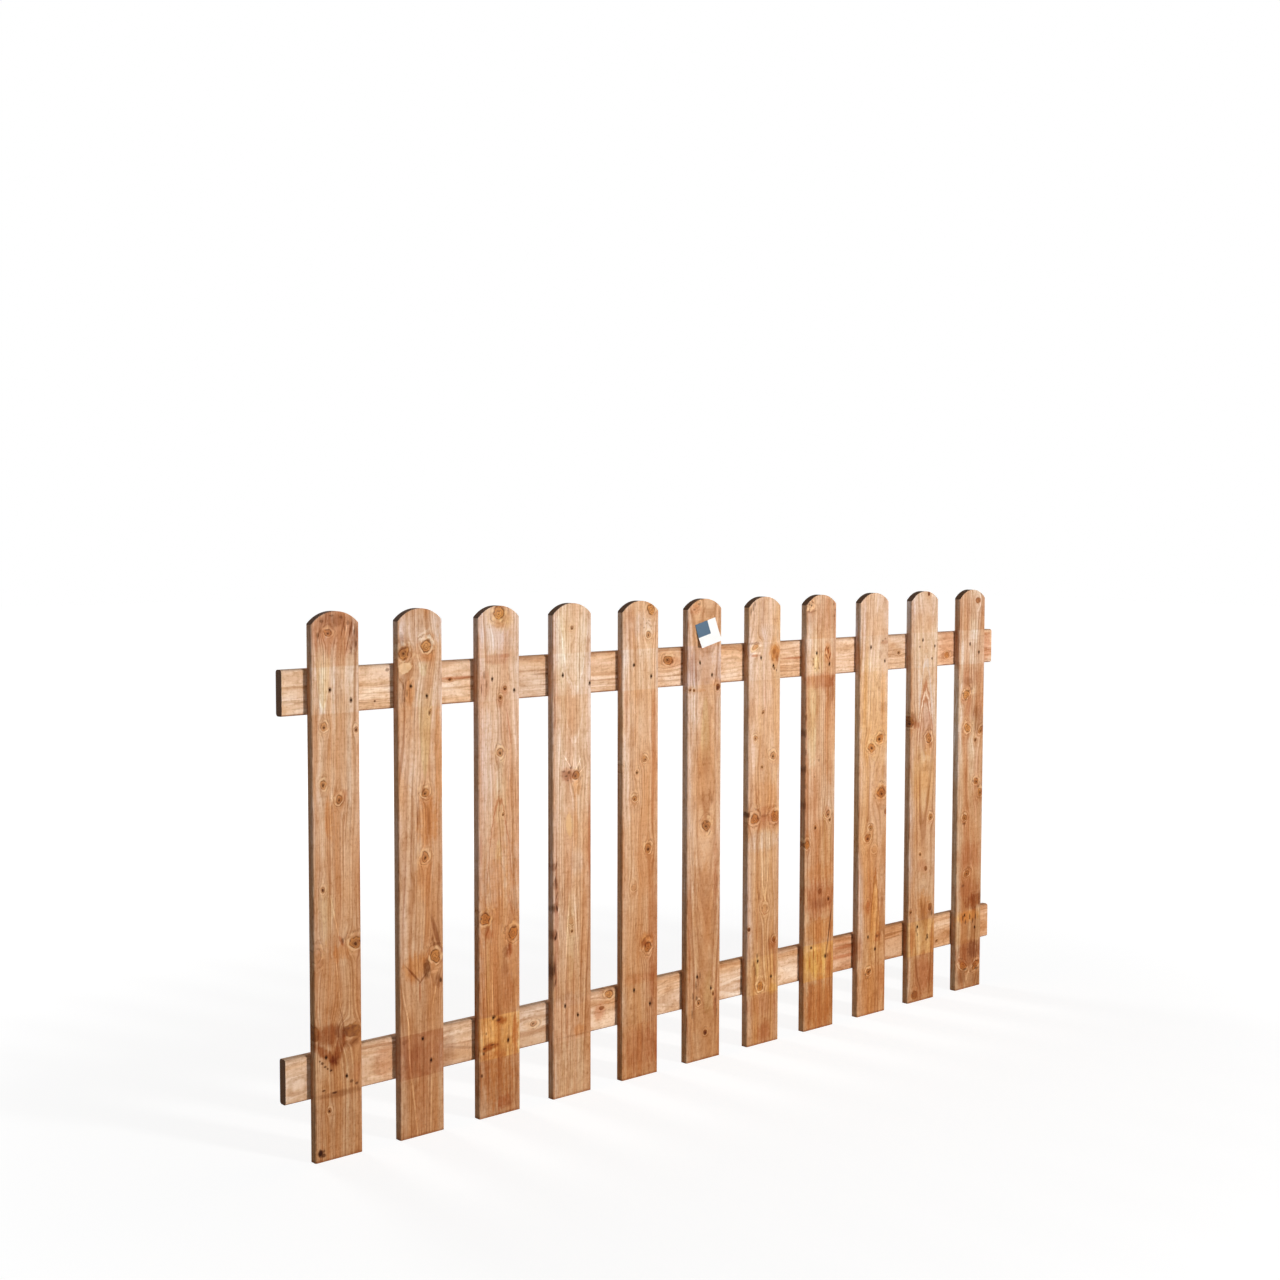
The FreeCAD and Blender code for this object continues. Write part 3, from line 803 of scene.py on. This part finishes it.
        specks=[(-17, 780, 2, 3), (25, 753, 3, 3), (-18, 158, 2, 7, 0.8), (-14, 148, 2, 5, 0.7),
            (20, 142, 4, 4, 0.8), (16, 134, 3, 4, 0.7), (34, 190, 3, 8, 0.6)],
        stains={
            RUST: [(0, 850, 46, 46, 0.25), (-26, 610, 20, 8, 0.7), (10, 610, 22, 30, 0.4),
                (0, 300, 20, 14, 0.5), (-32, 140, 10, 40, 0.7), (36, 130, 6, 40, 0.5),
                (4, 60, 44, 52, 0.65), (8, 54, 20, 52, 0.5)],
            UMBER: [(-36, 622, 14, 20, 0.8), (30, 192, 12, 12, 0.6)],
            PINK: [(-26, 690, 14, 60, 0.4), (-38, 480, 6, 120, 0.5), (-36, 330, 8, 80, 0.6)],
            ORANGE: [(16, 556, 16, 20, 0.8), (8, 500, 14, 40, 0.4), (4, 212, 26, 36, 0.9)],
            BLEACHED: [(8, 552, 2, 7, 0.9), (24, 552, 2, 6, 0.9), (28, 392, 8, 3, 0.7),
                (4, 30, 1.5, 26, 0.7, 0.5), (26, 30, 1.5, 26, 0.7, -0.4), (-35, 54, 9, 56, 0.6)],
            YELLOW: [(-4, 490, 44, 70, 0.5)],
            SHADE: [(0, 645, 60, 120, 0.6)],
            STRAW: [(-28, 70, 5, 40, 0.6)],
        },
        flames=[(NO_TINT, PINK, 5, 748, -190, 30, 0.9, 0.10),
            (NO_TINT, RUST, 5, 694, -190, 34, 1.0, 0.09), (NO_TINT, CREAM, 5, 680, -180, 31, 0.7, 0.05),
            ((0.95, 0.88, 0.86, 1.0), RUST, 5, 668, -130, 24, 1.0, 0.10)],
        nails=[(-7, 794), (34, 780), (-14, 166), (20, 138)],
    ),
    "picket_11": Board(
        Grain(56, 70, 3.8, 0.0015, 10, 0.5), (0.93, 0.97, 0.97, 1.0), REDDER, PALE_BAND,
        (1.08, 1.06, 0.96, 1.0),
        knots=[(SCAR, 18, 874, 8, 6), (AMBER, -20, 664, 10, 8, 0.4), (AMBER, -14, 588, 10, 9),
            (BROWN, 35, 582, 8, 8, 0.5), (PIN, 15, 560, 5, 5), (BROWN, 20, 466, 8, 7),
            (BROWN, 36, 440, 8, 8), (BROWN, -20, 388, 7, 6), (BROWN, -10, 260, 9, 6, 0.5),
            (AMBER, -16, 50, 11, 8, -0.6), (AMBER, 25, 46, 10, 9, 0.6)],
        specks=[(-30, 670, 5, 2, 0.7), (-12, 674, 6, 2, 0.7), (-20, 655, 5, 2, 0.6), (8, 470, 3, 3, 0.6),
            (28, 456, 4, 3, 0.7), (-22, 376, 6, 2, 0.7), (-20, 162, 3, 8, 0.8), (-11, 152, 3, 7, 0.8),
            (4, 162, 3, 8, 0.8), (15, 152, 3, 7, 0.8), (25, 160, 3, 8, 0.8), (-22, 236, 5, 4, 0.5),
            (-10, 44, 8, 3, 0.8), (30, 40, 7, 3, 0.8)],
        stains={
            RUST: [(6, 862, 36, 34, 0.4), (0, 705, 36, 26, 0.5), (10, 640, 40, 30, 0.5),
                (6, 300, 44, 34, 0.6), (0, 224, 46, 26, 0.6), (4, 78, 50, 34, 0.8),
                (21, 470, 9, 100, 0.4), (1, 772, 9, 38, 0.35)],
            BLEACHED: [(27, 850, 1.6, 60, 0.9), (4, 668, 10, 3, 0.6, 1.5), (10, 272, 1.6, 12, 0.9, -0.5),
                (-18, 268, 1.6, 8, 0.9, 0.9), (-34, 140, 10, 30, 0.6), (-26, 60, 12, 50, 0.4),
                (-18, 470, 7, 100, 0.4), (-20, 772, 9, 38, 0.4), (22, 772, 6, 38, 0.35)],
            UMBER: [(-14, 696, 20, 10, 0.5), (24, 610, 20, 34, 0.7), (40, 196, 7, 22, 0.8),
                (20, 86, 24, 20, 0.8), (-26, 28, 18, 18, 0.7), (30, 16, 20, 18, 0.6),
                (20, 138, 26, 46, 0.35), (12, 54, 18, 52, 0.3)],
            ORANGE: [(0, 280, 60, 110, 0.35)],
            EMBER: [(16, 196, 30, 20, 1.0)],
            HONEY: [(0, 164, 44, 14, 0.9)],
            CREAM: [(2, 36, 3, 20, 0.6, 0.4), (-26, 58, 1.6, 12, 0.7, -1.2), (14, 52, 1.6, 12, 0.7, 1.2)],
        },
        flames=[(NO_TINT, BLEACHED, -6, 282, -60, 14, 0.7)],
        nails=[(-8, 779), (24, 760), (-14, 168), (22, 136)],
    ),
    "top_rail": Board(
        Grain(-40, 90, 4.6, 0.0006, 10, 0.5), (1.0, 1.02, 1.05, 1.0), card(218, 172, 132), NO_TINT,
        NO_TINT,
        knots=[(PIN, -5, 326, 3, 4), (BROWN, -14, 831, 8, 10), (PIN, 2, 1505, 4, 5),
            (AMBER, 14, 1668, 6, 8)],
        specks=[(23, 175, 2, 2), (-28, 200, 3, 4, 0.6)],
        stains={
            RUST: [(-7, 340, 3, 50, 0.9), (-2, 1185, 3, 46, 0.9), (-8, 850, 12, 24, 0.6),
                (0, 1800, 38, 36, 0.9), (0, 1676, 60, 40, 0.6)],
            # The umber streaks at -34 and 37 across are painted shade along the top and bottom edges.
            UMBER: [(-4, 530, 2, 30, 0.7), (-34, 900, 4, 900, 0.4), (37, 900, 2.4, 3000, 0.9)],
            BLEACHED: [(0, 172, 60, 60, 1.0), (0, 340, 60, 56, 0.5), (0, 852, 60, 34, 0.6),
                (0, 1010, 60, 50, 0.5), (0, 18, 60, 36, 0.7)],
            SHADE: [(0, 502, 60, 60, 0.9), (0, 1490, 60, 66, 0.9)],
        },
    ),
    "bottom_rail": Board(
        Grain(14, 64, 4.2, -0.001, 16, 0.6), (1.0, 1.06, 1.12, 1.0), card(210, 158, 114), NO_TINT, NO_TINT,
        knots=[(EYE, -3, 506, 5, 7), (AMBER, -27, 684, 7, 9), (SCAR, -3, 667, 4, 6), (PIN, 21, 1646, 4, 5)],
        stains={
            BLEACHED: [(0, 18, 60, 36, 0.3), (0, 832, 60, 60, 0.55), (0, 1010, 60, 50, 0.6)],
            RUST: [(6, 1344, 5, 60, 0.9), (-14, 1350, 4, 50, 0.8), (0, 1342, 60, 56, 0.45),
                (0, 190, 40, 22, 0.5), (4, 664, 18, 16, 0.8), (0, 1806, 60, 36, 0.6)],
            YELLOW: [(0, 1800, 38, 40, 0.4)],
            # The umber streaks at -34 and 37 across are painted shade along the top and bottom edges.
            UMBER: [(8, 345, 3, 40, 0.5, 0.2), (-34, 900, 4, 900, 0.4), (4, 316, 44, 20, 0.5),
                (37, 900, 2.4, 3000, 0.9)],
            SHADE: [(0, 502, 60, 60, 0.9), (0, 1492, 60, 66, 0.9)],
            ORANGE: [(0, 1492, 60, 66, 0.35)],
        },
    ),
}


def with_cast(colour, cast):
    """A wood colour under a board's own cast."""
    return tuple(part * gain for part, gain in zip(colour, cast))


def spot(place, item):
    """The inputs that say where a mark lies on a board and how large it is."""
    return {
        "Place": place, "Across": item.across, "Along": item.along,
        "Half width": item.half_width, "Half height": item.half_height,
    }


def board_wood(name, board, seed, location, rotation, half_width, half_thickness):
    """The material of one board, with its own rings, knots and marks."""
    is_rail = name in RAILS
    material, tree = new_material("wood_" + name)
    place = place_in_mm(tree, location, rotation)
    ragged = noise(place, 6.0, 2.0) - 0.5
    swirl = noise(place, 13.0, 1.0, colour=True)
    feather = noise(stretched(place, 1.0, 1.0, 0.18), 5.0, 3.0) - 0.5 + ragged * 0.5
    shift = 0.0
    fields = {field: 0.0 for field in KNOT_FIELDS}
    for item in (Knot(*numbers) for numbers in board.knots):
        where = {**spot(place, item), "Lean": item.lean}
        shift = use_group(tree, grain_parting, {**where, "Shift": shift})["Shift"]
        fields = use_group(tree, knot, {
            **where, "Swirl": swirl, "Ragged": ragged, **fields, "Fill": item.kind.fill,
            "Darkness": item.kind.darkness, "Collar": item.kind.collar, "Bark": item.kind.bark,
            "Core size": item.kind.core,
        })
    growth = use_group(tree, trunk_rings, {
        "Place": place, "Shift": shift, "Pith across": board.grain.pith_across,
        "Pith behind": board.grain.pith_behind, "Ring width": board.grain.ring_width,
        "Taper": board.grain.taper, "Wander": board.grain.wander, "Seed": seed,
    })["Growth"]
    bruises = [nail + NAIL_BRUISE for nail in board.nails]
    for item in (Speck(*numbers) for numbers in (*board.specks, *bruises)):
        fields.update(use_group(tree, speck, {
            **spot(place, item), "Ragged": ragged, "Core": fields["Core"], "Strength": item.strength,
        }))
    wood = use_group(tree, softwood, {
        "Place": place, "Growth": growth, **fields, "Golden": with_cast(board.golden, board.cast),
        "Pale": with_cast(RAIL_PALE if is_rail else PICKET_PALE, board.cast),
        "Late wood": with_cast(RAIL_LATE if is_rail else PICKET_LATE, board.cast),
        "Ring strength": board.grain.strength, "Seed": seed,
    })
    colour = wood["Colour"]
    knotty = fields["Heart"].most(fields["Core"])
    for tint, stains in board.stains.items():
        resist = knotty if tint in PALE_TINTS else 0.0
        for item in (Stain(*numbers) for numbers in stains):
            colour = use_group(tree, stain, {
                **spot(place, item), "Feather": feather, "Colour": colour, "Tint": tint,
                "Lean": item.lean, "Strength": item.strength, "Resist": resist,
            })["Colour"]
    for item in (Flame(*numbers) for numbers in board.flames):
        colour = use_group(tree, flame, {
            "Place": place, "Feather": feather, "Colour": colour, "Tint": item.tint, "Rim": item.rim,
            "Across": item.across, "Tip": item.tip, "Length": item.length, "Half width": item.half_width,
            "Strength": item.strength, "Rim width": item.rim_width,
        })["Colour"]
    if not is_rail:
        colour = use_group(tree, picket_dip_and_shade, {
            "Place": place, "Colour": colour, "Upper band": board.upper, "Lower band": board.lower,
            "Seed": seed, "Collars": fields["Halo"], "Knots": knotty,
        })["Colour"]
    geometry = add_node(tree, "NewGeometry")
    normal_parts = parts_of(Field(tree, geometry.outputs["Normal"]))
    colour = use_group(tree, sawn_ends, {
        "Place": place, "Colour": colour, "Upright": normal_parts[0 if is_rail else 2],
        "Half width": half_width, "Half thickness": half_thickness,
    })["Colour"]
    finish_shader(tree, colour, wood["Roughness"], wood["Height"], WOOD_RELIEF, WOOD_SPECULAR)
    return material


def dress(name, seed, location, rotation, half_width, half_thickness):
    """Gives one board its wood."""
    material = board_wood(name, BOARDS[name], seed, location, rotation, half_width, half_thickness)
    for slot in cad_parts[name].material_slots:
        slot.material = material


RAILS = ("top_rail", "bottom_rail")
PICKETS = [name for name in BOARDS if name not in RAILS]
PICKET_SEED = 1.0
RAIL_SEED = 21.0
UPRIGHT = (0.0, 0.0, 0.0)
LYING = (0.0, math.radians(-90.0), 0.0)

for number, name in enumerate(PICKETS):
    low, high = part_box(name)
    middle = (low + high) / 2 / MM
    half = (high - low) / 2 / MM
    dress(name, number + PICKET_SEED, (-middle.x, -middle.y, -low.z / MM), UPRIGHT, half.x, half.y)

for number, name in enumerate(RAILS):
    low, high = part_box(name)
    middle = (low + high) / 2 / MM
    half = (high - low) / 2 / MM
    dress(name, number + RAIL_SEED, (middle.z, -middle.y, -low.x / MM), LYING, half.z, half.y)


# Modelling helpers

# How near a row a point of a unit sheet lies to be moved with it.
ROW_REACH = 0.01


def deselect_all():
    bpy.ops.object.select_all(action="DESELECT")


def make_active(piece):
    deselect_all()
    piece.select_set(True)
    bpy.context.view_layer.objects.active = piece


def edit_selected(piece, kind, wanted):
    """Goes into edit mode with only the wanted faces or points selected; kind is FACE or VERT."""
    make_active(piece)
    bpy.ops.object.mode_set(mode="EDIT")
    bpy.ops.mesh.select_mode(type=kind)
    bpy.ops.mesh.select_all(action="DESELECT")
    bpy.ops.object.mode_set(mode="OBJECT")
    for item in piece.data.polygons if kind == "FACE" else piece.data.vertices:
        item.select = wanted(item)
    bpy.ops.object.mode_set(mode="EDIT")


def settle(piece):
    """Puts the piece's place into its mesh."""
    make_active(piece)
    bpy.ops.object.transform_apply(location=True, rotation=True, scale=True)


def copied(pattern, location, rotation=(0.0, 0.0, 0.0), scale=(1.0, 1.0, 1.0)):
    """A copy of a pattern, with its own mesh, at a place."""
    make_active(pattern)
    bpy.ops.object.duplicate(linked=False)
    copy = bpy.context.object
    copy.location = location
    copy.rotation_euler = rotation
    copy.scale = scale
    return copy


def joined(name, copies):
    """One named piece made of copies."""
    make_active(copies[0])
    for copy in copies:
        copy.select_set(True)
    bpy.ops.object.join()
    piece = bpy.context.object
    piece.name = name
    settle(piece)
    return piece


def thicken(piece, thickness, smooth_below):
    """Gives a sheet its thickness, and smooths edges that turn less than an angle."""
    solid = piece.modifiers.new("thickness", "SOLIDIFY")
    solid.thickness = thickness
    make_active(piece)
    bpy.ops.object.modifier_apply(modifier=solid.name)
    bpy.ops.object.shade_smooth_by_angle(angle=smooth_below)


# Nails

NAIL_RADIUS = 1.8 * MM
NAIL_DEPTH = 2.0 * MM
NAIL_PROUD = 0.1 * MM
NAIL_SIDES = 16
NAIL_SMOOTH = math.radians(60.0)
FRONT_FACING = -0.9
NAIL_RELIEF = 0.2 * MM
NAIL_SPECULAR = 0.03

# From the rim inwards: how wide each step of the head is and how far it rises, in millimetres.
NAIL_STEPS = ((0.30, 0.20), (0.35, 0.08), (0.40, -0.08))

# Nails higher on a picket than this go into the top rail, in millimetres.
MIDWAY = 450


def nail_steel():
    """Dull wire-nail steel with rust freckles."""
    material, tree = new_material("nail_steel")
    place = place_in_mm(tree)
    rust = noise(place, 1.4, 3.0).ease(0.45, 0.62)
    colour = blend(rust, card(34, 21, 10), card(48, 24, 8))
    finish_shader(tree, colour, rust * 0.15 + 0.7, noise(place, 0.8), NAIL_RELIEF, NAIL_SPECULAR)
    return material


def nail_head():
    """One nail head, facing the front, with a rounded rim and a flat struck middle."""
    deselect_all()
    bpy.ops.mesh.primitive_cylinder_add(
        vertices=NAIL_SIDES, radius=NAIL_RADIUS, depth=NAIL_DEPTH, rotation=(math.radians(90.0), 0.0, 0.0))
    nail = bpy.context.object
    settle(nail)
    edit_selected(nail, "FACE", lambda face: face.normal.y < FRONT_FACING)
    for width, rise in NAIL_STEPS:
        bpy.ops.mesh.inset(thickness=width * MM, depth=rise * MM)
    bpy.ops.object.mode_set(mode="OBJECT")
    bpy.ops.object.shade_smooth_by_angle(angle=NAIL_SMOOTH)
    return nail


nail_pattern = nail_head()
nail_pattern.data.materials.append(nail_steel())
nail_places = {name: [] for name in RAILS}
for name in PICKETS:
    low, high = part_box(name)
    for across, along in BOARDS[name].nails:
        rail = "top_rail" if along > MIDWAY else "bottom_rail"
        nail_y = low.y + NAIL_DEPTH / 2 - NAIL_PROUD
        nail_places[rail].append(((low.x + high.x) / 2 + across * MM, nail_y, low.z + along * MM))
for rail in RAILS:
    row = joined("nails_" + rail, [copied(nail_pattern, place) for place in nail_places[rail]])
    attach(row, BODY)
bpy.data.objects.remove(nail_pattern)

# Torn fibres, where the saw broke out of one crown

TORN_PICKET = "picket_08"
TORN_ROWS = 7
TORN_THICKNESS = 0.6 * MM
TORN_SMOOTH = math.radians(50.0)
TORN_RELIEF = 0.4 * MM
TORN_HOLLOW = 0.4
TORN_TAPER = 0.7
TORN_ROLL = 2.3

# One curl of torn wood: its middle on the board, width, length, lift and turn.
Curl = namedtuple("Curl", "across along width length lift turn")
CURLS = (
    Curl(-45, 873, 10, 13, 4.5, 40), Curl(-38, 873, 12, 13, 5.5, 14), Curl(-28, 877, 12, 12, 3.5, 24),
    Curl(-35, 882, 4, 12, 1.6, 6), Curl(-25, 886, 4, 11, 1.2, -8),
)


def torn_wood():
    """Pale fresh wood with long broken fibres."""
    material, tree = new_material("torn_wood")
    place = place_in_mm(tree)
    fibres = noise(stretched(place, 1.0, 1.0, 0.2), 1.2, 3.0)
    colour = blend(fibres.ease(0.3, 0.6), card(196, 134, 90), card(244, 200, 156))
    finish_shader(tree, colour, fibres * 0.1 + 0.7, fibres, TORN_RELIEF, WOOD_SPECULAR)
    return material


def torn_curl():
    """One unit curl: flush at its upper end, hollow across and rolled out to a narrow tip."""
    deselect_all()
    bpy.ops.mesh.primitive_plane_add(size=1.0, rotation=(math.radians(90.0), 0.0, 0.0))
    curl = bpy.context.object
    settle(curl)
    edit_selected(curl, "FACE", lambda face: True)
    bpy.ops.mesh.subdivide(number_cuts=TORN_ROWS)
    bpy.ops.object.mode_set(mode="OBJECT")
    shares = [row / (TORN_ROWS + 1) for row in range(TORN_ROWS + 2)]
    for share in shares:
        edit_selected(curl, "VERT", lambda point: abs(share - 0.5 - point.co.x) < ROW_REACH)
        bpy.ops.transform.translate(value=(0.0, -TORN_HOLLOW * math.sin(share * math.pi), 0.0))
        bpy.ops.object.mode_set(mode="OBJECT")
    for share in shares:
        edit_selected(curl, "VERT", lambda point: abs(0.5 - share - point.co.z) < ROW_REACH)
        taper = 1.0 - TORN_TAPER * share ** 2
        bpy.ops.transform.resize(value=(taper, taper, 1.0), center_override=(0.0, 0.0, 0.5 - share))
        bpy.ops.transform.translate(value=(0.0, -math.sin(share * TORN_ROLL), 0.0))
        bpy.ops.object.mode_set(mode="OBJECT")
    return curl


torn_pattern = torn_curl()
low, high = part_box(TORN_PICKET)
curl_copies = []
for curl in CURLS:
    place = ((low.x + high.x) / 2 + curl.across * MM, low.y, low.z + curl.along * MM)
    turn = (0.0, math.radians(curl.turn), 0.0)
    size = (curl.width * MM, curl.lift * MM, curl.length * MM)
    curl_copies.append(copied(torn_pattern, place, turn, size))
torn_fibres = joined("torn_fibres", curl_copies)
thicken(torn_fibres, TORN_THICKNESS, TORN_SMOOTH)
torn_fibres.data.materials.append(torn_wood())
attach(torn_fibres, BODY)
bpy.data.objects.remove(torn_pattern)

# Paper tag

TAG_WIDTH = 54.5 * MM
TAG_HEIGHT = 46.0 * MM
TAG_THICKNESS = 0.35 * MM
TAG_TURN = math.radians(-14.0)
TAG_LIFT = 8.0 * MM
TAG_CURVE = 1.5
TAG_ROWS = 9
TAG_ACROSS = 5.8 * MM
TAG_ALONG = 834.5 * MM
TAG_GAP = 0.4 * MM
TAG_SMOOTH = math.radians(40.0)
TAG_RELIEF = 0.2 * MM
TAG_SPECULAR = 0.3

# The slate block's right-hand side and foot from the tag's middle, and how soft they are, in millimetres.
BLOCK_SIDE = 5.9
BLOCK_FOOT = -3.1
BLOCK_SOFT = 0.3


def tag_paper(middle):
    """White tag paper with a plain slate block in its upper corner."""
    material, tree = new_material("tag_paper")
    turn = -TAG_TURN
    turned_x = middle[0] * math.cos(turn) + middle[2] * math.sin(turn)
    turned_z = middle[2] * math.cos(turn) - middle[0] * math.sin(turn)
    place = place_in_mm(tree, (-turned_x / MM, 0.0, -turned_z / MM), (0.0, turn, 0.0))
    u, _, v = parts_of(place)
    ragged = (noise(place, 3.0) - 0.5) * 0.5
    beside = (u + ragged).ease(BLOCK_SIDE + BLOCK_SOFT, BLOCK_SIDE - BLOCK_SOFT)
    above = (v + ragged).ease(BLOCK_FOOT - BLOCK_SOFT, BLOCK_FOOT + BLOCK_SOFT)
    block = beside * above
    fibres = noise(place, 1.2, 3.0)
    paper = blend(fibres, card(232, 231, 228), card(244, 243, 240))
    slate = blend(fibres, card(58, 84, 106), card(76, 102, 124))
    colour = blend(block, paper, slate)
    finish_shader(tree, colour, block * -0.12 + 0.55, fibres, TAG_RELIEF, TAG_SPECULAR)
    return material


low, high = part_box("picket_06")
tag_middle = ((low.x + high.x) / 2 + TAG_ACROSS, low.y - TAG_GAP, low.z + TAG_ALONG)
deselect_all()
bpy.ops.mesh.primitive_plane_add(size=1.0, location=tag_middle, rotation=(math.radians(90.0), TAG_TURN, 0.0))
tag = bpy.context.object
tag.name = "paper_tag"
tag.scale = (TAG_WIDTH, TAG_HEIGHT, 1.0)
edit_selected(tag, "FACE", lambda face: True)
bpy.ops.mesh.subdivide(number_cuts=TAG_ROWS)
bpy.ops.object.mode_set(mode="OBJECT")
for row in range(1, TAG_ROWS + 2):
    share = row / (TAG_ROWS + 1)
    edit_selected(tag, "VERT", lambda point: abs(0.5 - share - point.co.y) < ROW_REACH)
    bpy.ops.transform.translate(value=(0.0, -TAG_LIFT * share ** TAG_CURVE, 0.0))
    bpy.ops.object.mode_set(mode="OBJECT")
settle(tag)
thicken(tag, TAG_THICKNESS, TAG_SMOOTH)
tag.data.materials.append(tag_paper(tag_middle))
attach(tag, BODY)

# Floor

FLOOR_SIZE = 40.0
WHITE = (1.0, 1.0, 1.0, 1.0)


def seen_directly(tree):
    """1 for a ray from the camera, off a gloss or through something clear, and 0 for the rest."""
    rays = add_node(tree, "LightPath")
    seen = Field(tree, rays.outputs["Is Camera Ray"])
    for kind in ("Is Glossy Ray", "Is Transmission Ray"):
        seen = seen.most(Field(tree, rays.outputs[kind]))
    return seen


def floor_paper():
    """White studio paper: it looks white, and still takes a soft shadow and gives back light."""
    material, tree = new_material("floor_paper")
    coordinates = add_node(tree, "TexCoord")
    far = add_node(tree, "VectorMath", {0: Field(tree, coordinates.outputs["Object"])}, operation="LENGTH")
    glow_strength = Field(tree, far.outputs["Value"]).ease(0.9, 2.6) * 0.14 + 0.86
    paper = add_node(tree, "BsdfDiffuse", {"Color": card(214, 214, 214)})
    thin = add_node(tree, "BsdfDiffuse", {"Color": card(140, 140, 140)})
    glow = add_node(tree, "Emission", {"Color": WHITE, "Strength": glow_strength})
    bright = add_node(tree, "AddShader", {0: Field(tree, thin.outputs[0]), 1: Field(tree, glow.outputs[0])})
    mixed = add_node(tree, "MixShader", {
        0: seen_directly(tree), 1: Field(tree, paper.outputs[0]), 2: Field(tree, bright.outputs[0]),
    })
    add_node(tree, "OutputMaterial", {"Surface": Field(tree, mixed.outputs[0])})
    return material


deselect_all()
bpy.ops.mesh.primitive_plane_add(size=FLOOR_SIZE, location=(0.0, 0.0, cad_low.z))
floor = bpy.context.object
floor.name = "floor"
floor.data.materials.append(floor_paper())
floor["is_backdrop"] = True

# Light


def soft_box(name, place, aim, size, power):
    """A square studio soft box that looks at a point."""
    bpy.ops.object.light_add(type="AREA", location=place)
    lamp = bpy.context.object
    lamp.name = name
    lamp.data.shape = "RECTANGLE"
    lamp.data.size = size
    lamp.data.size_y = size
    lamp.data.energy = power
    away = [to - at for to, at in zip(aim, place)]
    flat = math.hypot(away[0], away[1])
    lamp.rotation_euler = (math.atan2(flat, -away[2]), 0.0, math.atan2(away[1], away[0]) - math.pi / 2)


soft_box("key_light", place=(1.4, -5.3, 1.1), aim=(0.0, 0.0, 0.4), size=0.6, power=270.0)
soft_box("fill_light", place=(-3.6, -3.4, 1.6), aim=(0.0, 0.0, 0.3), size=2.4, power=20.0)
soft_box("back_light", place=(-0.5, 5.4, 1.2), aim=(0.0, 0.0, 0.3), size=1.6, power=190.0)

# The room gives less light from overhead than from the sides.
SIDE_LEVEL = 0.18
OVERHEAD_LOSS = 0.13

world = bpy.data.worlds.new("studio")
bpy.context.scene.world = world
world.use_nodes = True
sky = world.node_tree
sky.nodes.clear()
overhead = parts_of(Field(sky, add_node(sky, "TexCoord").outputs["Generated"]))[2]
ambient = overhead.ease(0.1, 0.7) * -OVERHEAD_LOSS + SIDE_LEVEL
strength = seen_directly(sky) * (ambient * -1.0 + 1.0) + ambient
backdrop = add_node(sky, "Background", {"Color": WHITE, "Strength": strength})
add_node(sky, "OutputWorld", {"Surface": Field(sky, backdrop.outputs[0])})

# Camera, fitted to the picket and rail edges of the photograph

CAMERA_PLACE = (-2.3533, -2.4986, 0.8938)
CAMERA_TURN = (86.418, -0.1297, -41.565)
CAMERA_LENS = 49.877
SENSOR_WIDTH = 36.0
CAMERA_REACH = 100.0

bpy.ops.object.camera_add(location=CAMERA_PLACE, rotation=[math.radians(angle) for angle in CAMERA_TURN])
camera = bpy.context.object
camera.name = "camera"
camera.data.sensor_fit = "HORIZONTAL"
camera.data.sensor_width = SENSOR_WIDTH
camera.data.lens = CAMERA_LENS
camera.data.clip_end = CAMERA_REACH
bpy.context.scene.camera = camera
bpy.context.scene.view_settings.view_transform = "Standard"

low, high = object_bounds()
